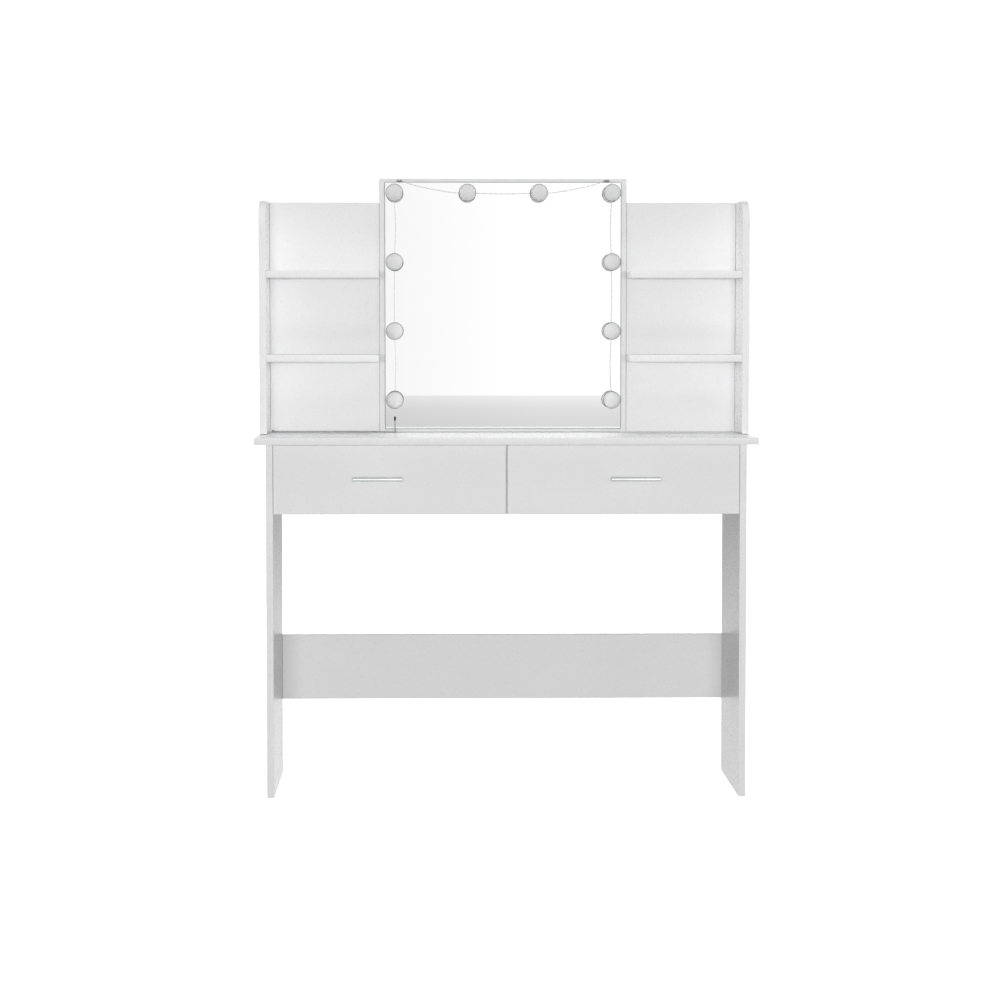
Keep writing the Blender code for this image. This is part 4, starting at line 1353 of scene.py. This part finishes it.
def add_handle(side):
    """A bar pull with softly turned ends, on two slim posts."""
    node = side + "_drawer_handle"
    low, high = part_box(node)
    radius = (high.z - low.z) / 2
    axis_y, axis_z = low.y + radius, middle_of(node).z
    length = high.x - low.x
    arc = [(HANDLE_EASE * u, HANDLE_EASE * v) for u, v in quarter_arc(5)]
    profile = [(0, 0)]
    profile += [(radius - u, v) for u, v in arc]
    profile += [(radius - v, length - u) for u, v in arc]
    profile += [(0, length)]
    bm = bmesh.new()
    add_lathe(bm, profile, USUAL_TURN, facing((low.x, axis_y, axis_z), (1, 0, 0)))
    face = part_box(side + "_drawer_front")[0].y
    reach = face - axis_y
    r = POST_RADIUS
    post = [
        (0, 0), (r - 0.0002, 0), (r, 0.0003), (r, 0.0012), (r - 0.0002, 0.0016),
        (r - 0.0003, 0.0024), (r - 0.0003, reach - 0.0060), (r - 0.0002, reach - 0.0050),
        (r - 0.0002, reach), (0, reach),
    ]
    for x in post_places(side):
        add_lathe(bm, post, SLIM_TURN, facing((x, face - POST_GAP, axis_z), (0, -1, 0)))
    add_piece(node + "_bar", bm, [CHROME], "handle", node)


def add_drawer_bottom(side):
    """The bottom panel: white lacquer above, bare brown fibre below."""
    node = side + "_drawer_bottom"
    low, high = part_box(node)
    back_low, back_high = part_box(side + "_drawer_back")
    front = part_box(side + "_drawer_front")[1].y + BOTTOM_GAP
    bm = bmesh.new()
    near, far = (back_low.x, front, low.z), (back_high.x, high.y, high.z)
    add_block(bm, near, far, BOTTOM_ROUND, 1, 1)
    for face in bm.faces:
        if face.normal.z > 0.99:
            face.material_index = 0
    add_piece(node + "_panel", bm, [FOIL, HARDBOARD], "drawer_panel", node)


def add_drawer(side):
    """One drawer: banded front, foil-wrapped box, bottom, handle and screws."""
    prefix = side + "_drawer_"
    add_board(prefix + "front")
    for part in ("inner_side", "outer_side", "back"):
        add_board(prefix + part, "drawer_board", materials=[FOIL, FOIL])
    add_drawer_bottom(side)
    add_handle(side)
    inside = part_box(prefix + "front")[1].y
    height = middle_of(prefix + "handle").z
    screws = [((x, inside, height), BACKWARDS) for x in post_places(side)]
    back = middle_of(prefix + "back")
    for part in ("inner_side", "outer_side"):
        low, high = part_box(prefix + part)
        outwards = 1 if low.x > back.x else -1
        outer_face = high.x if outwards > 0 else low.x
        for z in (low.z + SCREW_INSET, high.z - DRAWER_SCREW_INSET):
            screws.append(((outer_face, back.y, z), (outwards, 0, 0)))
    add_screws(prefix + "screws", BODY_OF[prefix + "front"], screws)


def fill_roller(bm):
    """Fill a bmesh with a nylon roller on a rivet, its axis along Z."""
    r, w = ROLLER_RADIUS, ROLLER_WIDTH
    profile = [
        (0, 0), (0.55 * r, 0), (0.60 * r, 0.0004), (0.78 * r, 0.0004), (0.84 * r, 0),
        (0.95 * r, 0), (r, 0.0005), (r, w - 0.0005), (0.95 * r, w), (0.80 * r, w),
        (0.74 * r, w - 0.0006), (0.42 * r, w - 0.0006), (0.38 * r, w), (0, w),
    ]
    rivet = [
        (0, w - 0.0002), (0.30 * r, w - 0.0002), (0.28 * r, w + 0.0003), (0.18 * r, w + 0.0006),
        (0, w + 0.0007),
    ]
    add_lathe(bm, profile, USUAL_TURN, Matrix.Identity(4), 0)
    add_lathe(bm, rivet, SMALL_TURN, Matrix.Identity(4), 1)


ROLLER = mesh_from(fill_roller)


def runner_layout(node, outwards):
    """Return a runner's web face x, its roller's (y, z), and its screws' (y, z) places."""
    low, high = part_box(node)
    middle = middle_of(node)
    if "_drawer_" in node:
        side_low, side_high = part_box(node.replace("_runner", "_side"))
        web = side_high.x + RUNNER_SHEET if outwards > 0 else side_low.x - RUNNER_SHEET
        roller = (high.y - ROLLER_INSET, low.z + DRAWER_ROLLER_HEIGHT)
        near, far, z = SCREW_INSET, 2 * SCREW_INSET, low.z + DRAWER_RUNNER_SCREW_HEIGHT
    else:
        web = low.x + RUNNER_WEB if outwards > 0 else high.x - RUNNER_WEB
        roller = (low.y + ROLLER_INSET, low.z + FIXED_ROLLER_HEIGHT)
        near, far, z = 2 * SCREW_INSET, SCREW_INSET, middle.z
    return web, roller, [(y, z) for y in (low.y + near, middle.y, high.y - far)]


def add_runner_fittings():
    """Paint the runners and give them nylon rollers and fixing screws."""
    rollers = {body: [] for body in frame["bodies"]}
    screws = {body: [] for body in frame["bodies"]}
    for side, hand in SIDES:
        for name, outwards in (
            ("leg", -hand), ("divider", hand), ("drawer_outer", hand), ("drawer_inner", -hand)
        ):
            node = "{}_{}_runner".format(side, name)
            for material_slot in frame["nodes"][node].material_slots:
                material_slot.material = RUNNER_PAINT
            web, (y, z), spots = runner_layout(node, outwards)
            direction = (outwards, 0, 0)
            rollers[BODY_OF[node]].append(facing((web, y, z), direction))
            screws[BODY_OF[node]] += [((web, y, z), direction) for y, z in spots]
    for body, places in rollers.items():
        bm = bmesh.new()
        for place in places:
            stamp(bm, ROLLER, place)
        add_piece(body + "_rollers", bm, [NYLON, ZINC], "runner", body=body)
        add_screws(body + "_runner_screws", body, screws[body])


add_set()
add_lead()
add_wire()
add_boards()
add_mirror()
add_bulbs()
add_wire_clips()
add_connector()
add_joining_plates()
add_carcass_fittings()
add_glides()
for side_name, _ in SIDES:
    add_drawer(side_name)
add_runner_fittings()
